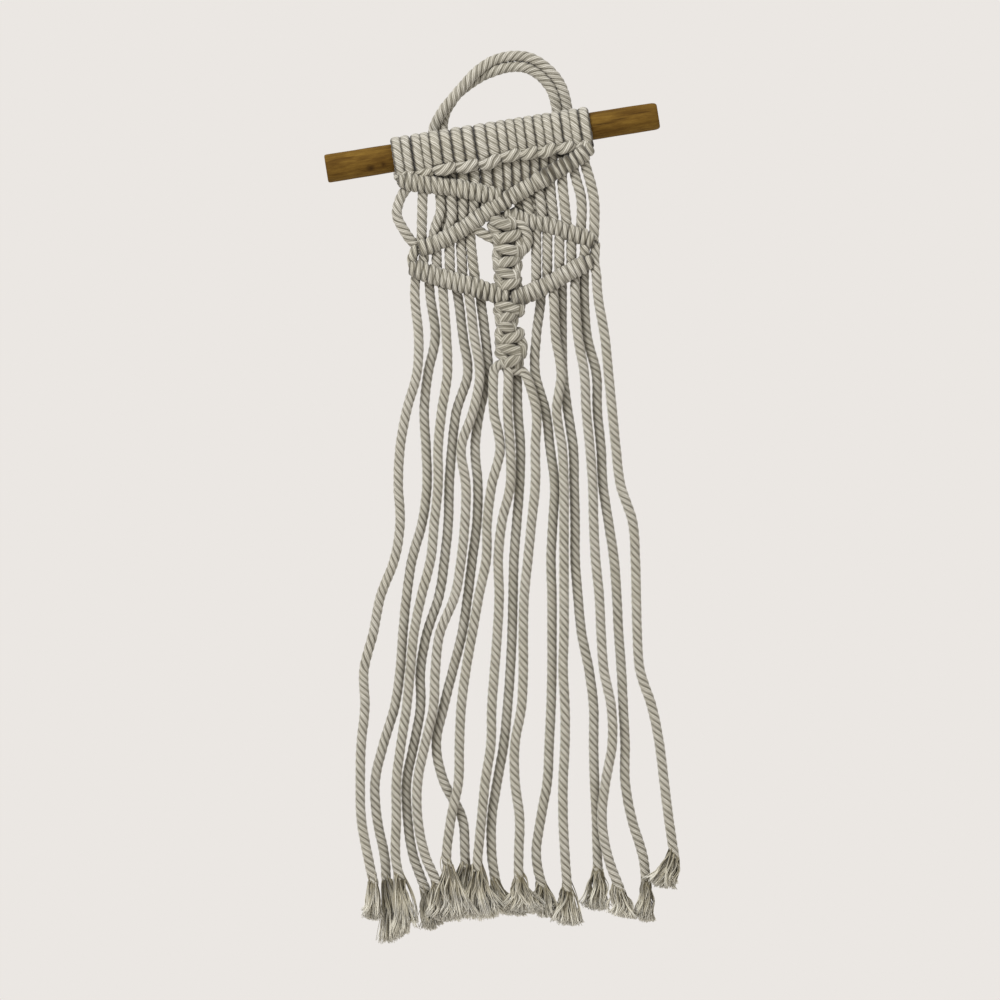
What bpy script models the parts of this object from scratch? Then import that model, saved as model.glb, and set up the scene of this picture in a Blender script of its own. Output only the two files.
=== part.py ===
"""A macrame wall hanging: eight doubled cotton cords knotted on a short wooden dowel.

A ninth, doubled cord makes the loop that it hangs by, and is knotted on the dowel at both its feet.
The frame is in metres, +Z up, and the front faces -Y. The origin is under the top of the hanging
loop, where a hook or nail holds it. The dowel hangs at a tilt, and the fringe falls straight down.
"""

import math
from typing import NamedTuple

import bpy
import bmesh
from mathutils import Vector

MM = 0.001
GAP = 0.3 * MM

# The dowel: its ends in the XZ plane, its thickness at each end, and its depth behind the knots.
DOWEL_LEFT = Vector((-101.5, 0, -53.0)) * MM
DOWEL_RIGHT = Vector((78.0, 0, -25.0)) * MM
DOWEL_Y = -15.0 * MM
DOWEL_LEFT_RADIUS = 7.3 * MM
DOWEL_RIGHT_RADIUS = 6.7 * MM
DOWEL_EDGE = 0.8 * MM
DOWEL_SIDES = 20

# The cord: its thickness, its plies, and how far they travel along it in one full turn.
CORD_RADIUS = 2.55 * MM
PLIES = 4
CORD_LAY = 15.6 * MM

# Depths. The knotted panel hangs below the front of the dowel.
PANEL_DEPTH = 6.7 * MM
PANEL_Y = DOWEL_Y - PANEL_DEPTH
FRINGE_LAYER = 2.85 * MM

# Where the cord goes over the dowel it is pressed flat.
WRAP_WIDTH = 4.6 * MM
WRAP_THICKNESS = 4.0 * MM
WRAP_STEP = math.radians(45)
WRAP_STEPS = 7
WRAP_SIDES = 6
WRAP_START = math.radians(-15)
WRAP_FRONT = (7.7 * MM, 8.5 * MM)
WRAP_BEHIND = (4.8 * MM, 10.2 * MM)
DROP_START = 13.5 * MM
DROP_LEAST = 1.0 * MM
DROP_LEAN = 0.5
BUMP_DROP = 10.2 * MM
HANGER_BUMP_DROP = 9.0 * MM
HANGER_BUMP_OVERHANG = -1.4 * MM
BUMP_Y = DOWEL_Y - 10.2 * MM
BUMP_RADIUS = 2.6 * MM
BUMP_CROWN = (0.22, 0.78)
BUMP_OVERHANG = 1.2 * MM

# The bars of half hitches: two turns of cord make one ridge.
BAR_RIDGE_PITCH = 4.2 * MM
BAR_VALLEY = 0.76
STRAND_STEP = 10.0 * MM
FRINGE_STEP = 14.0 * MM

# The raised plies of the hanging cord: how far out the valleys between them are.
PLY_VALLEY = 0.74
SHARP_ANGLE = math.radians(50)

COLOURS = {
    "cotton": (0.45, 0.42, 0.35, 1.0),
    "wood": (0.20, 0.11, 0.035, 1.0),
}


class Knot(NamedTuple):
    """A lark's head on the dowel: its two turns, in mm along the dowel from its left end."""

    left: float
    right: float


KNOTS = (
    Knot(39.8, 44.8),
    Knot(49.8, 55.0),
    Knot(72.5, 78.6),
    Knot(84.9, 91.5),
    Knot(96.9, 101.9),
    Knot(106.9, 111.9),
    Knot(116.9, 121.8),
    Knot(136.6, 141.6),
)
HANGER_KNOTS = (Knot(60.6, 65.9), Knot(127.0, 131.5))


class Bar(NamedTuple):
    """A bar of half hitches: its thickness, its depth before the panel, and its line as (x, z),
    in mm."""

    name: str
    thickness: float
    forward: float
    line: tuple


BARS = (
    Bar(
        "upper left", 9.2, 0.0,
        ((-60.5, -59.0), (-51, -61), (-40, -62), (-29, -63.5), (-18.5, -66), (-8, -68)),
    ),
    Bar(
        "long diagonal", 9.0, 1.2,
        ((40, -42), (35.5, -46), (25, -52.5), (14, -59), (3, -65.5), (-7.5, -71.5), (-18.5, -79),
        (-29, -86),
         (-40, -92), (-51, -96.5)),
    ),
    Bar(
        "right", 9.2, 0.0,
        ((-3.5, -77), (3, -80), (11.5, -82), (19.5, -83.5), (27.5, -86.5), (35.5, -89), (44.5, -93)),
    ),
    Bar(
        "lower left", 10.2, 0.0,
        ((-55, -106.5), (-45.5, -109.5), (-34.5, -113), (-24, -116), (-13, -119.5), (-3, -122)),
    ),
    Bar("lower right", 9.6, 0.4, ((41, -103), (30, -108.5), (19.5, -114.5), (8.5, -120), (0, -122.5))),
)


class Strand(NamedTuple):
    """A length of cord between two bars: its depth before the panel, and its line as (x, z), in mm."""

    name: str
    forward: float
    line: tuple


STRANDS = (
    Strand(
        "outward loop", 0.0,
        ((-56, -61), (-61.5, -68), (-65, -74), (-65, -78.5), (-61.5, -84), (-57, -90), (-50, -96)),
    ),
    Strand("left 1", 0.6, ((-49, -61), (-49.5, -72.5), (-50, -96))),
    Strand("left 2", 0.0, ((-40.5, -62), (-39.5, -75), (-42, -83), (-44.5, -94))),
    Strand("left 3", 0.8, ((-34.5, -63), (-33.5, -78), (-37, -90))),
    Strand("left 4", 0.0, ((-27.5, -64), (-27.5, -85))),
    Strand("left 5", 0.5, ((-21.5, -65), (-21.5, -80.5))),
    Strand("left 6", 0.0, ((-15.5, -67), (-15.5, -77))),
    Strand("right 1", 0.0, ((4.5, -64), (7.5, -72.5), (9, -81))),
    Strand("right 2", 0.6, ((12, -60), (14.5, -71.5), (15, -82.5))),
    Strand("right 3", 0.0, ((19, -56), (20, -67), (22, -85))),
    Strand("right 4", 0.5, ((25.5, -52.5), (26.5, -64.5), (29, -87))),
    Strand("right 5", 0.0, ((31, -49), (34, -60), (36.5, -71), (36, -89))),
    Strand("right 6", 0.4, ((36.5, -45), (41, -59), (43.5, -73), (43, -92))),
    Strand("lower right 1", 0.4, ((12, -82), (12, -118))),
    Strand("lower right 2", 0.0, ((18, -83), (18, -115))),
    Strand("lower right 3", 0.6, ((24.5, -85), (24.5, -111))),
    Strand("lower right 4", 0.0, ((31, -87), (31, -108))),
    Strand("lower right 5", 0.5, ((38.5, -90), (38, -104))),
    Strand("lower left 1", 0.5, ((-48.5, -95), (-49, -108))),
    Strand("lower left 2", 0.0, ((-42, -93), (-41.5, -110.5))),
    Strand("lower left 3", 0.6, ((-35, -89), (-34.5, -113))),
    Strand("lower left 4", 0.0, ((-29, -86), (-27.5, -115))),
    Strand("lower left 5", 0.4, ((-24, -83), (-23, -96.5), (-20.5, -116.5))),
)


class Row(NamedTuple):
    """A level of a column of square knots: its height and its two edges in x, in mm."""

    height: float
    left: float
    right: float


UPPER_SINNET = (
    Row(-77.0, -11.0, 0.0),
    Row(-83.0, -15.0, 2.0),
    Row(-87.0, -16.5, 5.0),
    Row(-90.5, -13.0, 5.5),
    Row(-94.0, -13.5, 7.5),
    Row(-97.5, -11.5, 4.0),
    Row(-101.0, -13.0, 5.0),
    Row(-104.5, -11.5, 4.0),
    Row(-108.0, -13.0, 6.5),
    Row(-112.5, -14.0, 8.0),
    Row(-120.0, -14.0, 9.5),
)
LOWER_SINNET = (
    Row(-120.5, -9.0, 5.0),
    Row(-125.5, -12.5, 6.0),
    Row(-129.0, -10.0, 4.5),
    Row(-132.0, -10.2, 5.5),
    Row(-137.0, -8.5, 0.5),
    Row(-142.0, -9.7, 3.0),
    Row(-144.5, -9.0, 3.5),
    Row(-148.0, -10.2, 6.0),
    Row(-151.0, -9.5, 5.5),
    Row(-154.5, -9.5, 6.0),
    Row(-159.5, -6.5, 3.5),
    Row(-163.0, -5.0, 1.0),
)
SINNET_DEPTH = 0.56

# The fringe: the height of its first row of places, and the drop from row to row.
FRINGE_TOP = -123.5 * MM
FRINGE_DROP = 20.0 * MM


class FringeStrand(NamedTuple):
    """A strand of the fringe, in mm: front or back layer, where it leaves the knots, x at each
    place down the fringe from its first one, and where its twist ends and the fraying begins."""

    name: str
    layer: int
    root: tuple
    first: int
    places: tuple
    end: tuple


FRINGE = (
    FringeStrand("s01", 1, ((-53, -108),), 0,
                 (-53.5, -51.5, -52.5, -58, -61.5, -62.5, -61.5, -64.5, -72, -76, -81, -80.5,
                  -82.5, -83, -82.5, -79),
                 (-75.5, -439.5)),
    FringeStrand("s02", -1, ((-46, -111),), 0,
                 (-45, -42.5, -46.5, -48.5, -47.5, -47, -49.5, -55, -58, -60, -61.5, -64.5, -70.5,
                  -75, -74, -70),
                 (-69, -437)),
    FringeStrand("s03", 1, ((-39, -112),), 0,
                 (-38, -36.5, -36, -39, -41, -41, -43, -45, -50, -54, -56, -58, -61, -63.5, -63.5, -64),
                 (-61.5, -437)),
    FringeStrand("s04", -1, ((-32, -114),), 0,
                 (-30, -27.5, -25, -31, -33.5, -35, -35.5, -37.5, -40.5, -47, -50.5, -50.5, -54,
                  -58, -57.5, -54.5),
                 (-47, -444)),
    FringeStrand("s05", 1, ((-26, -116),), 0,
                 (-24, -21.5, -18.5, -22, -28.5, -26, -26.5, -28.5, -32, -40, -42.5, -43.5, -48,
                  -52, -52, -48),
                 (-40, -441)),
    FringeStrand("s06", -1, ((-18.5, -117),), 0,
                 (-18, -15.5, -14, -18.5, -21, -19.5, -20, -22.5, -25, -28, -33, -38, -42, -38,
                  -28, -26.5),
                 (-26, -430.5)),
    FringeStrand("s07", 1, ((-4, -157), (-8.5, -159)), 2,
                 (-11, -11, -7.5, -12, -14.5, -15, -19, -22.5, -26, -28.5, -29.5, -30, -34, -36.5),
                 (-35, -430.5)),
    FringeStrand("s08", 1, ((-4, -156),), 2,
                 (-3, -3.5, -2, -2, -6.5, -8.5, -8, -9, -10.5, -12, -12.5, -15.5, -17.5, -19.5),
                 (-20, -432.5)),
    FringeStrand("s09", -1, ((-1, -156),), 2,
                 (1.5, 2, 3.5, 3, 1.5, 0, -0.5, -1, -2, -3.5, -5.5, -9, -12, -12),
                 (-9.5, -440)),
    FringeStrand("s10", 1, ((-5, -161.5), (2, -162), (6.5, -164.5)), 3,
                 (12, 11.5, 11.5, 9.5, 7.5, 5.5, 5, 5, 4, 0.5, 0.5, 3, 2.5),
                 (2.5, -437)),
    FringeStrand("s11", -1, ((13.5, -117),), 0,
                 (14.5, 12, 11.5, 17, 19.5, 22, 21, 20, 20.5, 20.5, 20.5, 20, 19, 18, 14.5, 12),
                 (15.5, -442.5)),
    FringeStrand("s12", 1, ((20.5, -113),), 0,
                 (21.5, 22.5, 25.5, 23, 26, 27, 27, 27, 27, 27, 26.5, 27.5, 27.5, 26.5, 26.5, 27.5),
                 (29, -443.5)),
    FringeStrand("s13", -1, ((26, -111),), 0,
                 (26, 26, 26.5, 29, 32, 32.5, 33, 33, 34.5, 36.5, 40.5, 43, 43, 43.5, 44.5, 45),
                 (45.5, -433.5)),
    FringeStrand("s14", 1, ((33, -107),), 0,
                 (33, 34.5, 38, 39, 41, 42.5, 43, 44, 46, 47, 48.5, 52.5, 53, 49.5, 47.5, 50.5),
                 (58, -444)),
    FringeStrand("s15", -1, ((38, -105),), 0,
                 (38, 39.5, 44.5, 45, 47, 48, 51, 54, 55.5, 56.5, 58, 59, 60, 60, 63.5, 69.5),
                 (71.5, -439)),
    FringeStrand("s16", 1, ((44, -93), (43.5, -103), (44.5, -111)), 0,
                 (45.5, 49, 51, 53, 55, 57.5, 64, 65.5, 66, 66.5, 68, 74.5, 78.5, 81, 83.5, 86.5),
                 (86.5, -425)),
)


class Tuft(NamedTuple):
    """The frayed end of a strand, in mm from where its twist ends: how its locks spread and fall."""

    strand: str
    left: float
    right: float
    drop_left: float
    drop_right: float


TUFTS = (
    Tuft("s01", -5.5, 3.5, 17, 18),
    Tuft("s02", -1.5, 8, 36, 28),
    Tuft("s03", -2, 10, 33, 24),
    Tuft("s04", -1, 6.5, 18, 13),
    Tuft("s05", -1, 9, 14, 17),
    Tuft("s06", -4, 9, 23, 27),
    Tuft("s07", -1.5, 10, 22, 28),
    Tuft("s08", -2, 9, 24, 25),
    Tuft("s09", 2, 15, 13, 16),
    Tuft("s10", -4, 9, 15, 16),
    Tuft("s11", -5, 8, 12, 14),
    Tuft("s12", -6, 7.5, 16, 17),
    Tuft("s13", -9, 4.5, 16, 20),
    Tuft("s14", -5, 8, 10, 13),
    Tuft("s15", -5, 3, 18, 20),
    Tuft("s16", -12, 1, 10, 17),
)
TUFT_LOCKS = 3
TUFT_FLARE = (0.7, 0.95, 1.15)
TUFT_LOCK_RADIUS = 2.1 * MM
TUFT_ROOT = 3.0 * MM
TUFT_KNEE = (0.45, 0.4)


class HangerStrand(NamedTuple):
    """One strand of the doubled hanging cord, foot to foot, as (x, depth behind the loop, z), in mm."""

    name: str
    route: tuple


HANGER_STRANDS = (
    HangerStrand("outer strand", (
        (-41, -12.5, -54.8), (-41, -8, -55), (-41.4, -3, -52), (-42.5, 0, -46), (-43.8, 0, -38),
        (-43, -1.2, -30), (-38.5, -2.9, -21.5), (-32.5, -2.9, -14), (-27, -2.9, -7.5),
        (-22, -2.4, -2), (-17, -1.2, 2.3), (-12, 0, 5.3), (-7, 0, 7.2), (-2, 0, 8.1), (3, 0, 8.2),
        (8, 0, 7.5), (12.7, 0, 5.3), (17.8, 0, 1.7), (22.6, 0, -3.4), (25.5, 0, -8), (27.8, 0, -15),
        (29, 0, -22), (29.4, 0, -30), (29.6, 0, -36), (29.8, -3, -41), (29.8, -8, -43.9),
        (29.8, -12.5, -43.7),
    )),
    HangerStrand("inner strand", (
        (-35.4, -12.5, -53.9), (-35.4, -8, -54.1), (-35.8, -3, -51), (-37, 0, -45), (-38.4, 0, -37),
        (-38.6, 1.5, -29), (-37.3, 2.9, -22.5), (-34.5, 2.9, -17.5), (-31, 2.9, -12.5),
        (-25, 2.9, -7.5), (-19, 2.4, -3.5), (-13.5, 0.6, -0.9), (-8, 0, 1), (-2.5, 0, 2.3),
        (3, 0, 2.5), (8.5, 0, 1.2), (13, 0, -1.5), (16.6, 0, -4.8), (20.2, 0, -9.6), (22.3, 0, -16),
        (23.5, 0, -22), (24.1, 0, -30), (24.5, 0, -37), (25, -3, -42), (25.2, -8, -44.7),
        (25.2, -12.5, -44.5),
    )),
)
HANGER_STEP = 1.8 * MM


def smooth(points, step):
    """Points a step apart on a Catmull-Rom curve through the given ones."""
    ends = [points[0] * 2 - points[1], *points, points[-1] * 2 - points[-2]]
    fine = []
    for before, start, end, after in zip(ends, ends[1:], ends[2:], ends[3:]):
        pieces = max(1, round((end - start).length / step))
        for index in range(pieces):
            t = index / pieces
            fine.append(
                0.5 * (
                    2 * start
                    + (end - before) * t
                    + (2 * before - 5 * start + 4 * end - after) * t**2
                    + (3 * start - before - 3 * end + after) * t**3
                )
            )
    return [*fine, points[-1]]


def front_line(line, y):
    """A line of (x, z) pairs in mm as points at depth y."""
    return [Vector((x * MM, y, z * MM)) for x, z in line]


def cord(name, path, radius, sides=6, swell=None, section=None, turn=None):
    """A closed mesh object along a path: swell scales its radius and turn twists it at each point."""
    curve = bpy.data.curves.new(name, "CURVE")
    curve.dimensions = "3D"
    curve.use_fill_caps = True
    if section:
        curve.bevel_mode = "OBJECT"
        curve.bevel_object = section
    else:
        curve.bevel_depth = radius
        curve.bevel_resolution = (sides - 4) // 2
    spline = curve.splines.new("POLY")
    spline.points.add(len(path) - 1)
    for index, (point, place) in enumerate(zip(spline.points, path)):
        point.co = (*place, 1)
        point.radius = swell[index] if swell else 1
        point.tilt = turn[index] if turn else 0
    guide = bpy.data.objects.new(name, curve)
    bpy.context.scene.collection.objects.link(guide)
    evaluated = guide.evaluated_get(bpy.context.evaluated_depsgraph_get())
    mesh = bpy.data.meshes.new_from_object(evaluated)
    piece = bpy.data.objects.new(name, mesh)
    piece.matrix_world = guide.matrix_world
    bpy.data.objects.remove(guide)
    caps = bmesh.new()
    caps.from_mesh(mesh)
    bmesh.ops.remove_doubles(caps, verts=caps.verts, dist=0.01 * MM)
    bmesh.ops.recalc_face_normals(caps, faces=caps.faces)
    caps.to_mesh(mesh)
    caps.free()
    return piece


def section_of(name, points):
    """A closed outline that a cord can take as its cross-section."""
    outline = bpy.data.curves.new(name, "CURVE")
    outline.dimensions = "2D"
    spline = outline.splines.new("POLY")
    spline.points.add(len(points) - 1)
    for point, (x, y) in zip(spline.points, points):
        point.co = (x, y, 0, 1)
    spline.use_cyclic_u = True
    guide = bpy.data.objects.new(name, outline)
    guides.objects.link(guide)
    guide.hide_render = True
    guide.display_type = "WIRE"
    return guide


def oval(name, width, height, sides):
    """An oval section with points at the ends of its width."""
    angles = [2 * math.pi * index / sides for index in range(sides)]
    return section_of(name, [(width / 2 * math.cos(a), height / 2 * math.sin(a)) for a in angles])


def fuse(name, pieces, material):
    """Join overlapping closed pieces into one body."""
    base, *others = pieces
    group = bpy.data.collections.new(name + " pieces")
    guides.children.link(group)
    for piece in others:
        group.objects.link(piece)
        piece.hide_render = True
        piece.display_type = "WIRE"
    join = base.modifiers.new("Fuse", "BOOLEAN")
    join.operation = "UNION"
    join.solver = "EXACT"
    join.operand_type = "COLLECTION"
    join.collection = group
    return keep(name, base, material)


def keep(name, piece, material):
    """Name a finished piece, give it its material, and put it in the object's collection."""
    piece.name = name
    piece.data.name = name
    piece.data.materials.clear()
    piece.data.materials.append(material)
    piece.data.shade_smooth()
    piece.data.set_sharp_from_angle(angle=SHARP_ANGLE)
    parts.objects.link(piece)
    return piece


def material_of(name, roughness):
    """A plain material in one of the object's colours."""
    material = bpy.data.materials.new(name)
    material.use_nodes = True
    shader = material.node_tree.nodes["Principled BSDF"]
    shader.inputs["Base Color"].default_value = COLOURS[name]
    shader.inputs["Roughness"].default_value = roughness
    shader.inputs["Metallic"].default_value = 0
    return material


def dowel_axis():
    """The dowel's direction, left to right."""
    return (DOWEL_RIGHT - DOWEL_LEFT).normalized()


def dowel_up():
    """The direction square to the dowel in the plane that the macrame hangs in."""
    return Vector((0, -1, 0)).cross(dowel_axis())


def dowel_place(along):
    """The point on the dowel's axis at a distance from its left end."""
    return DOWEL_LEFT + dowel_axis() * along + Vector((0, DOWEL_Y, 0))


def dowel_radius(along):
    """The tapered dowel's radius at a distance from its left end."""
    length = (DOWEL_RIGHT - DOWEL_LEFT).length
    return DOWEL_LEFT_RADIUS + (DOWEL_RIGHT_RADIUS - DOWEL_LEFT_RADIUS) * along / length


def make_dowel():
    """A tapered round rod with softened ends, lying along the tilted axis."""
    length = (DOWEL_RIGHT - DOWEL_LEFT).length
    bpy.ops.mesh.primitive_cone_add(
        vertices=DOWEL_SIDES, radius1=DOWEL_LEFT_RADIUS, radius2=DOWEL_RIGHT_RADIUS, depth=length,
    )
    dowel = bpy.context.object
    for collection in list(dowel.users_collection):
        collection.objects.unlink(dowel)
    dowel.location = dowel_place(length / 2)
    dowel.rotation_euler = dowel_axis().to_track_quat("Z", "Y").to_euler()
    edge = dowel.modifiers.new("Softened ends", "BEVEL")
    edge.width = DOWEL_EDGE
    edge.segments = 1
    edge.limit_method = "ANGLE"
    edge.angle_limit = SHARP_ANGLE
    return keep("dowel", dowel, material_of("wood", 0.6))


def make_hanging_cord():
    """A doubled cord over the top, its plies raised as a twist, knotted on the dowel at each foot."""
    reach = [CORD_RADIUS, CORD_RADIUS * PLY_VALLEY] * PLIES
    lobes = section_of("plies", [
        (radius * math.cos(math.pi * index / PLIES), radius * math.sin(math.pi * index / PLIES))
        for index, radius in enumerate(reach)
    ])
    pieces = []
    for strand in HANGER_STRANDS:
        path = smooth([Vector((x, depth, z)) * MM for x, depth, z in strand.route], HANGER_STEP)
        travelled = [0.0]
        for start, end in zip(path, path[1:]):
            travelled.append(travelled[-1] + (end - start).length)
        turn = [-2 * math.pi * along / CORD_LAY for along in travelled]
        pieces.append(cord(strand.name, path, 1, section=lobes, turn=turn))
    for knot in HANGER_KNOTS:
        pieces += knot_pieces("hanger knot", knot, drops=False)
    return fuse("hanging_cord", pieces, cotton)


def bar_top(x):
    """Where a cord that drops from the dowel at x meets a bar, as (x, z), all in mm."""
    x += DROP_LEAN
    line = BARS[0].line if x < BARS[0].line[-1][0] - 1 else tuple(reversed(BARS[1].line))
    for (x0, z0), (x1, z1) in zip(line, line[1:]):
        if x <= x1:
            break
    return x, z0 + (z1 - z0) * (x - x0) / (x1 - x0)


def wrap_path(along, drops):
    """A turn of cord round the dowel: from the bar below its front, where it drops to one,
    over the top and back under."""
    up = dowel_up()
    out = Vector((0, -1, 0))
    centre = dowel_place(along)
    radius = (dowel_radius(along) + GAP + WRAP_THICKNESS * 0.5) / math.cos(WRAP_STEP / 2)
    path = []
    if drops:
        below = centre + out * PANEL_DEPTH - up * DROP_START
        x, z = bar_top(below.x / MM)
        path.append(Vector((x * MM, PANEL_Y, min(z * MM, below.z - DROP_LEAST))))
    path.append(centre + out * WRAP_FRONT[0] - up * WRAP_FRONT[1])
    for index in range(WRAP_STEPS):
        angle = WRAP_START + WRAP_STEP * index
        path.append(centre + (out * math.cos(angle) + up * math.sin(angle)) * radius)
    path.append(centre + out * WRAP_BEHIND[0] - up * WRAP_BEHIND[1])
    return path


def pressed_turn(name, path):
    """A tube along a turn round the dowel, flat against it: its width lies along the dowel's axis."""
    across = dowel_axis()
    angles = [2 * math.pi * index / WRAP_SIDES for index in range(WRAP_SIDES)]
    tallest = max(math.sin(angle) for angle in angles)
    tube = bmesh.new()
    rings = []
    for index, place in enumerate(path):
        along = path[min(index + 1, len(path) - 1)] - path[max(index - 1, 0)]
        rise = along.cross(across).normalized()
        rings.append([
            tube.verts.new(
                place
                + across * (WRAP_WIDTH / 2 * math.cos(angle))
                + rise * (WRAP_THICKNESS / 2 * math.sin(angle) / tallest)
            )
            for angle in angles
        ])
    for ring, after in zip(rings, rings[1:]):
        for side in range(WRAP_SIDES):
            other = (side + 1) % WRAP_SIDES
            tube.faces.new((ring[side], ring[other], after[other], after[side]))
    tube.faces.new(rings[0])
    tube.faces.new(rings[-1])
    bmesh.ops.recalc_face_normals(tube, faces=tube.faces)
    mesh = bpy.data.meshes.new(name)
    tube.to_mesh(mesh)
    tube.free()
    return bpy.data.objects.new(name, mesh)


def knot_pieces(name, knot, drops):
    """The two turns of a lark's head and the bump that crosses their front."""
    pieces = [
        pressed_turn(f"{name} left", wrap_path(knot.left * MM, drops)),
        pressed_turn(f"{name} right", wrap_path(knot.right * MM, drops)),
    ]
    low = -dowel_up() * (BUMP_DROP if drops else HANGER_BUMP_DROP)
    overhang = BUMP_OVERHANG if drops else HANGER_BUMP_OVERHANG
    start = dowel_place(knot.left * MM - overhang) + low
    end = dowel_place(knot.right * MM + overhang) + low
    path = [start, start.lerp(end, BUMP_CROWN[0]), start.lerp(end, BUMP_CROWN[1]), end]
    for point, y in zip(path, (PANEL_Y, BUMP_Y, BUMP_Y, PANEL_Y)):
        point.y = y
    pieces.append(cord(f"{name} bump", path, BUMP_RADIUS, sides=4))
    return pieces


def bar_pieces():
    """Each bar as a tube that swells at every ridge."""
    pieces = []
    for bar in BARS:
        y = PANEL_Y - bar.forward * MM
        path = smooth(front_line(bar.line, y), BAR_RIDGE_PITCH / 2)
        swell = [1 if index % 2 else BAR_VALLEY for index in range(len(path))]
        pieces.append(cord(bar.name, path, bar.thickness / 2 * MM, swell=swell))
    return pieces


def strand_pieces():
    """Plain lengths of cord between the bars."""
    pieces = []
    for strand in STRANDS:
        line = front_line(strand.line, PANEL_Y - strand.forward * MM)
        pieces.append(cord(strand.name, smooth(line, STRAND_STEP), CORD_RADIUS, sides=4))
    return pieces


def sinnet_piece(name, rows, section):
    """A column of square knots, as wide at each level as its row."""
    path = [Vector(((row.left + row.right) / 2 * MM, PANEL_Y, row.height * MM)) for row in rows]
    swell = [(row.right - row.left) / 2 * MM for row in rows]
    return cord(name, path, 1, section=section, swell=swell)


def fringe_pieces():
    """The sixteen strands below the bars, each with its frayed end."""
    pieces = []
    tufts = {tuft.strand: tuft for tuft in TUFTS}
    for strand in FRINGE:
        y = PANEL_Y - strand.layer * FRINGE_LAYER
        line = [Vector((x * MM, y, z * MM)) for x, z in strand.root]
        for index, x in enumerate(strand.places, start=strand.first):
            line.append(Vector((x * MM, y, FRINGE_TOP - index * FRINGE_DROP)))
        line.append(Vector((strand.end[0] * MM, y, strand.end[1] * MM)))
        pieces.append(cord(strand.name, smooth(line, FRINGE_STEP), CORD_RADIUS, sides=4))
        pieces += tuft_pieces(tufts[strand.name], line[-1])
    return pieces


def tuft_pieces(tuft, end):
    """Locks that leave a strand's end side by side and flare as they fall."""
    pieces = []
    for number in range(TUFT_LOCKS):
        share = (number + 0.5) / TUFT_LOCKS
        x_root = (share - 0.5) * CORD_RADIUS
        x_tip = (tuft.left + (tuft.right - tuft.left) * share) * MM
        drop = (tuft.drop_left + (tuft.drop_right - tuft.drop_left) * share) * MM
        path = [
            end + Vector((x_root, 0, TUFT_ROOT)),
            end + Vector((x_root + (x_tip - x_root) * TUFT_KNEE[0], 0, -drop * TUFT_KNEE[1])),
            end + Vector((x_tip, 0, -drop)),
        ]
        name = f"{tuft.strand} lock {number + 1}"
        pieces.append(cord(name, path, TUFT_LOCK_RADIUS, sides=4, swell=TUFT_FLARE))
    return pieces


def make_macrame():
    """The knotted panel and its fringe, one piece from the dowel down."""
    pieces = bar_pieces()
    for number, knot in enumerate(KNOTS, start=1):
        pieces += knot_pieces(f"knot {number}", knot, drops=True)
    pieces += strand_pieces()
    square = oval("square knot", 2 * SINNET_DEPTH, 2, 8)
    pieces.append(sinnet_piece("upper sinnet", UPPER_SINNET, square))
    pieces.append(sinnet_piece("lower sinnet", LOWER_SINNET, square))
    pieces += fringe_pieces()
    return fuse("macrame", pieces, cotton)


for old in list(bpy.data.objects):
    bpy.data.objects.remove(old)
parts = bpy.data.collections.new("macrame wall hanging")
guides = bpy.data.collections.new("guides")
bpy.context.scene.collection.children.link(parts)
bpy.context.scene.collection.children.link(guides)
cotton = material_of("cotton", 0.9)

make_dowel()
make_hanging_cord()
make_macrame()
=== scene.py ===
"""Dresses the macrame wall hanging: four-ply cotton cord, its knots and frayed ends, and the rod."""

import math
from typing import NamedTuple

import bpy
import numpy as np
from mathutils import Matrix, Vector


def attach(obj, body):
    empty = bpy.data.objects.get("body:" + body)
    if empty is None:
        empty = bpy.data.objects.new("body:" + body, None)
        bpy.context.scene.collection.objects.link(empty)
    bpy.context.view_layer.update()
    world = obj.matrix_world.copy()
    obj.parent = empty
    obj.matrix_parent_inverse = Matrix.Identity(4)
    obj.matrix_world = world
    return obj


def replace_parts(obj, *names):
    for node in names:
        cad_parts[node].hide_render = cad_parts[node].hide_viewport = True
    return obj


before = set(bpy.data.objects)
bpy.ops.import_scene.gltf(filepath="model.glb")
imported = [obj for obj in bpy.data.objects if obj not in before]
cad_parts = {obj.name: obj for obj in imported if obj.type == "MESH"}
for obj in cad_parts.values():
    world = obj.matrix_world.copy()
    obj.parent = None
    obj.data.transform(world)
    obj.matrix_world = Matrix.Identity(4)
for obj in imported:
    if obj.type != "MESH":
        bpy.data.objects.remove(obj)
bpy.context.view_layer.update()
rng = np.random.default_rng(11)

# Sizes are in mm, and points are (x, y, z) with the front at -Y, unless a comment says otherwise.
MM = 0.001
FRONT = np.array([0.0, -1.0, 0.0])

# The rod: the middle of each end, and its radius there, where the turns bear on it. It lies up to 1 mm
# above the dowel in the CAD, and the turns are bedded a little way into its surface.
ROD_Y = -15.0
ROD_LEFT = np.array([-101.5, ROD_Y, -52.7])
ROD_RIGHT = np.array([78.0, ROD_Y, -24.0])
ROD_LENGTH = float(np.linalg.norm(ROD_RIGHT - ROD_LEFT))
ROD_AXIS = (ROD_RIGHT - ROD_LEFT) / ROD_LENGTH
ROD_RISE = np.cross(FRONT, ROD_AXIS)
ROD_LEFT_RADIUS = 7.3
ROD_RIGHT_RADIUS = 7.0
ROD_BEDDED = 0.35
ROD_SIDES = 72
ROD_RINGS = 80
ROD_END = 4.0
ROD_SHARP_DEGREES = 50

# Its sawn left end and its worn right end: the share of the radius at each distance from the end.
SAWN_END = ((0.0, 0.88), (0.15, 0.94), (0.5, 0.98), (1.1, 1.0))
WORN_END = ((0.0, 0.80), (0.25, 0.875), (0.7, 0.93), (1.3, 0.965), (2.0, 0.985), (2.9, 1.0))

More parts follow.
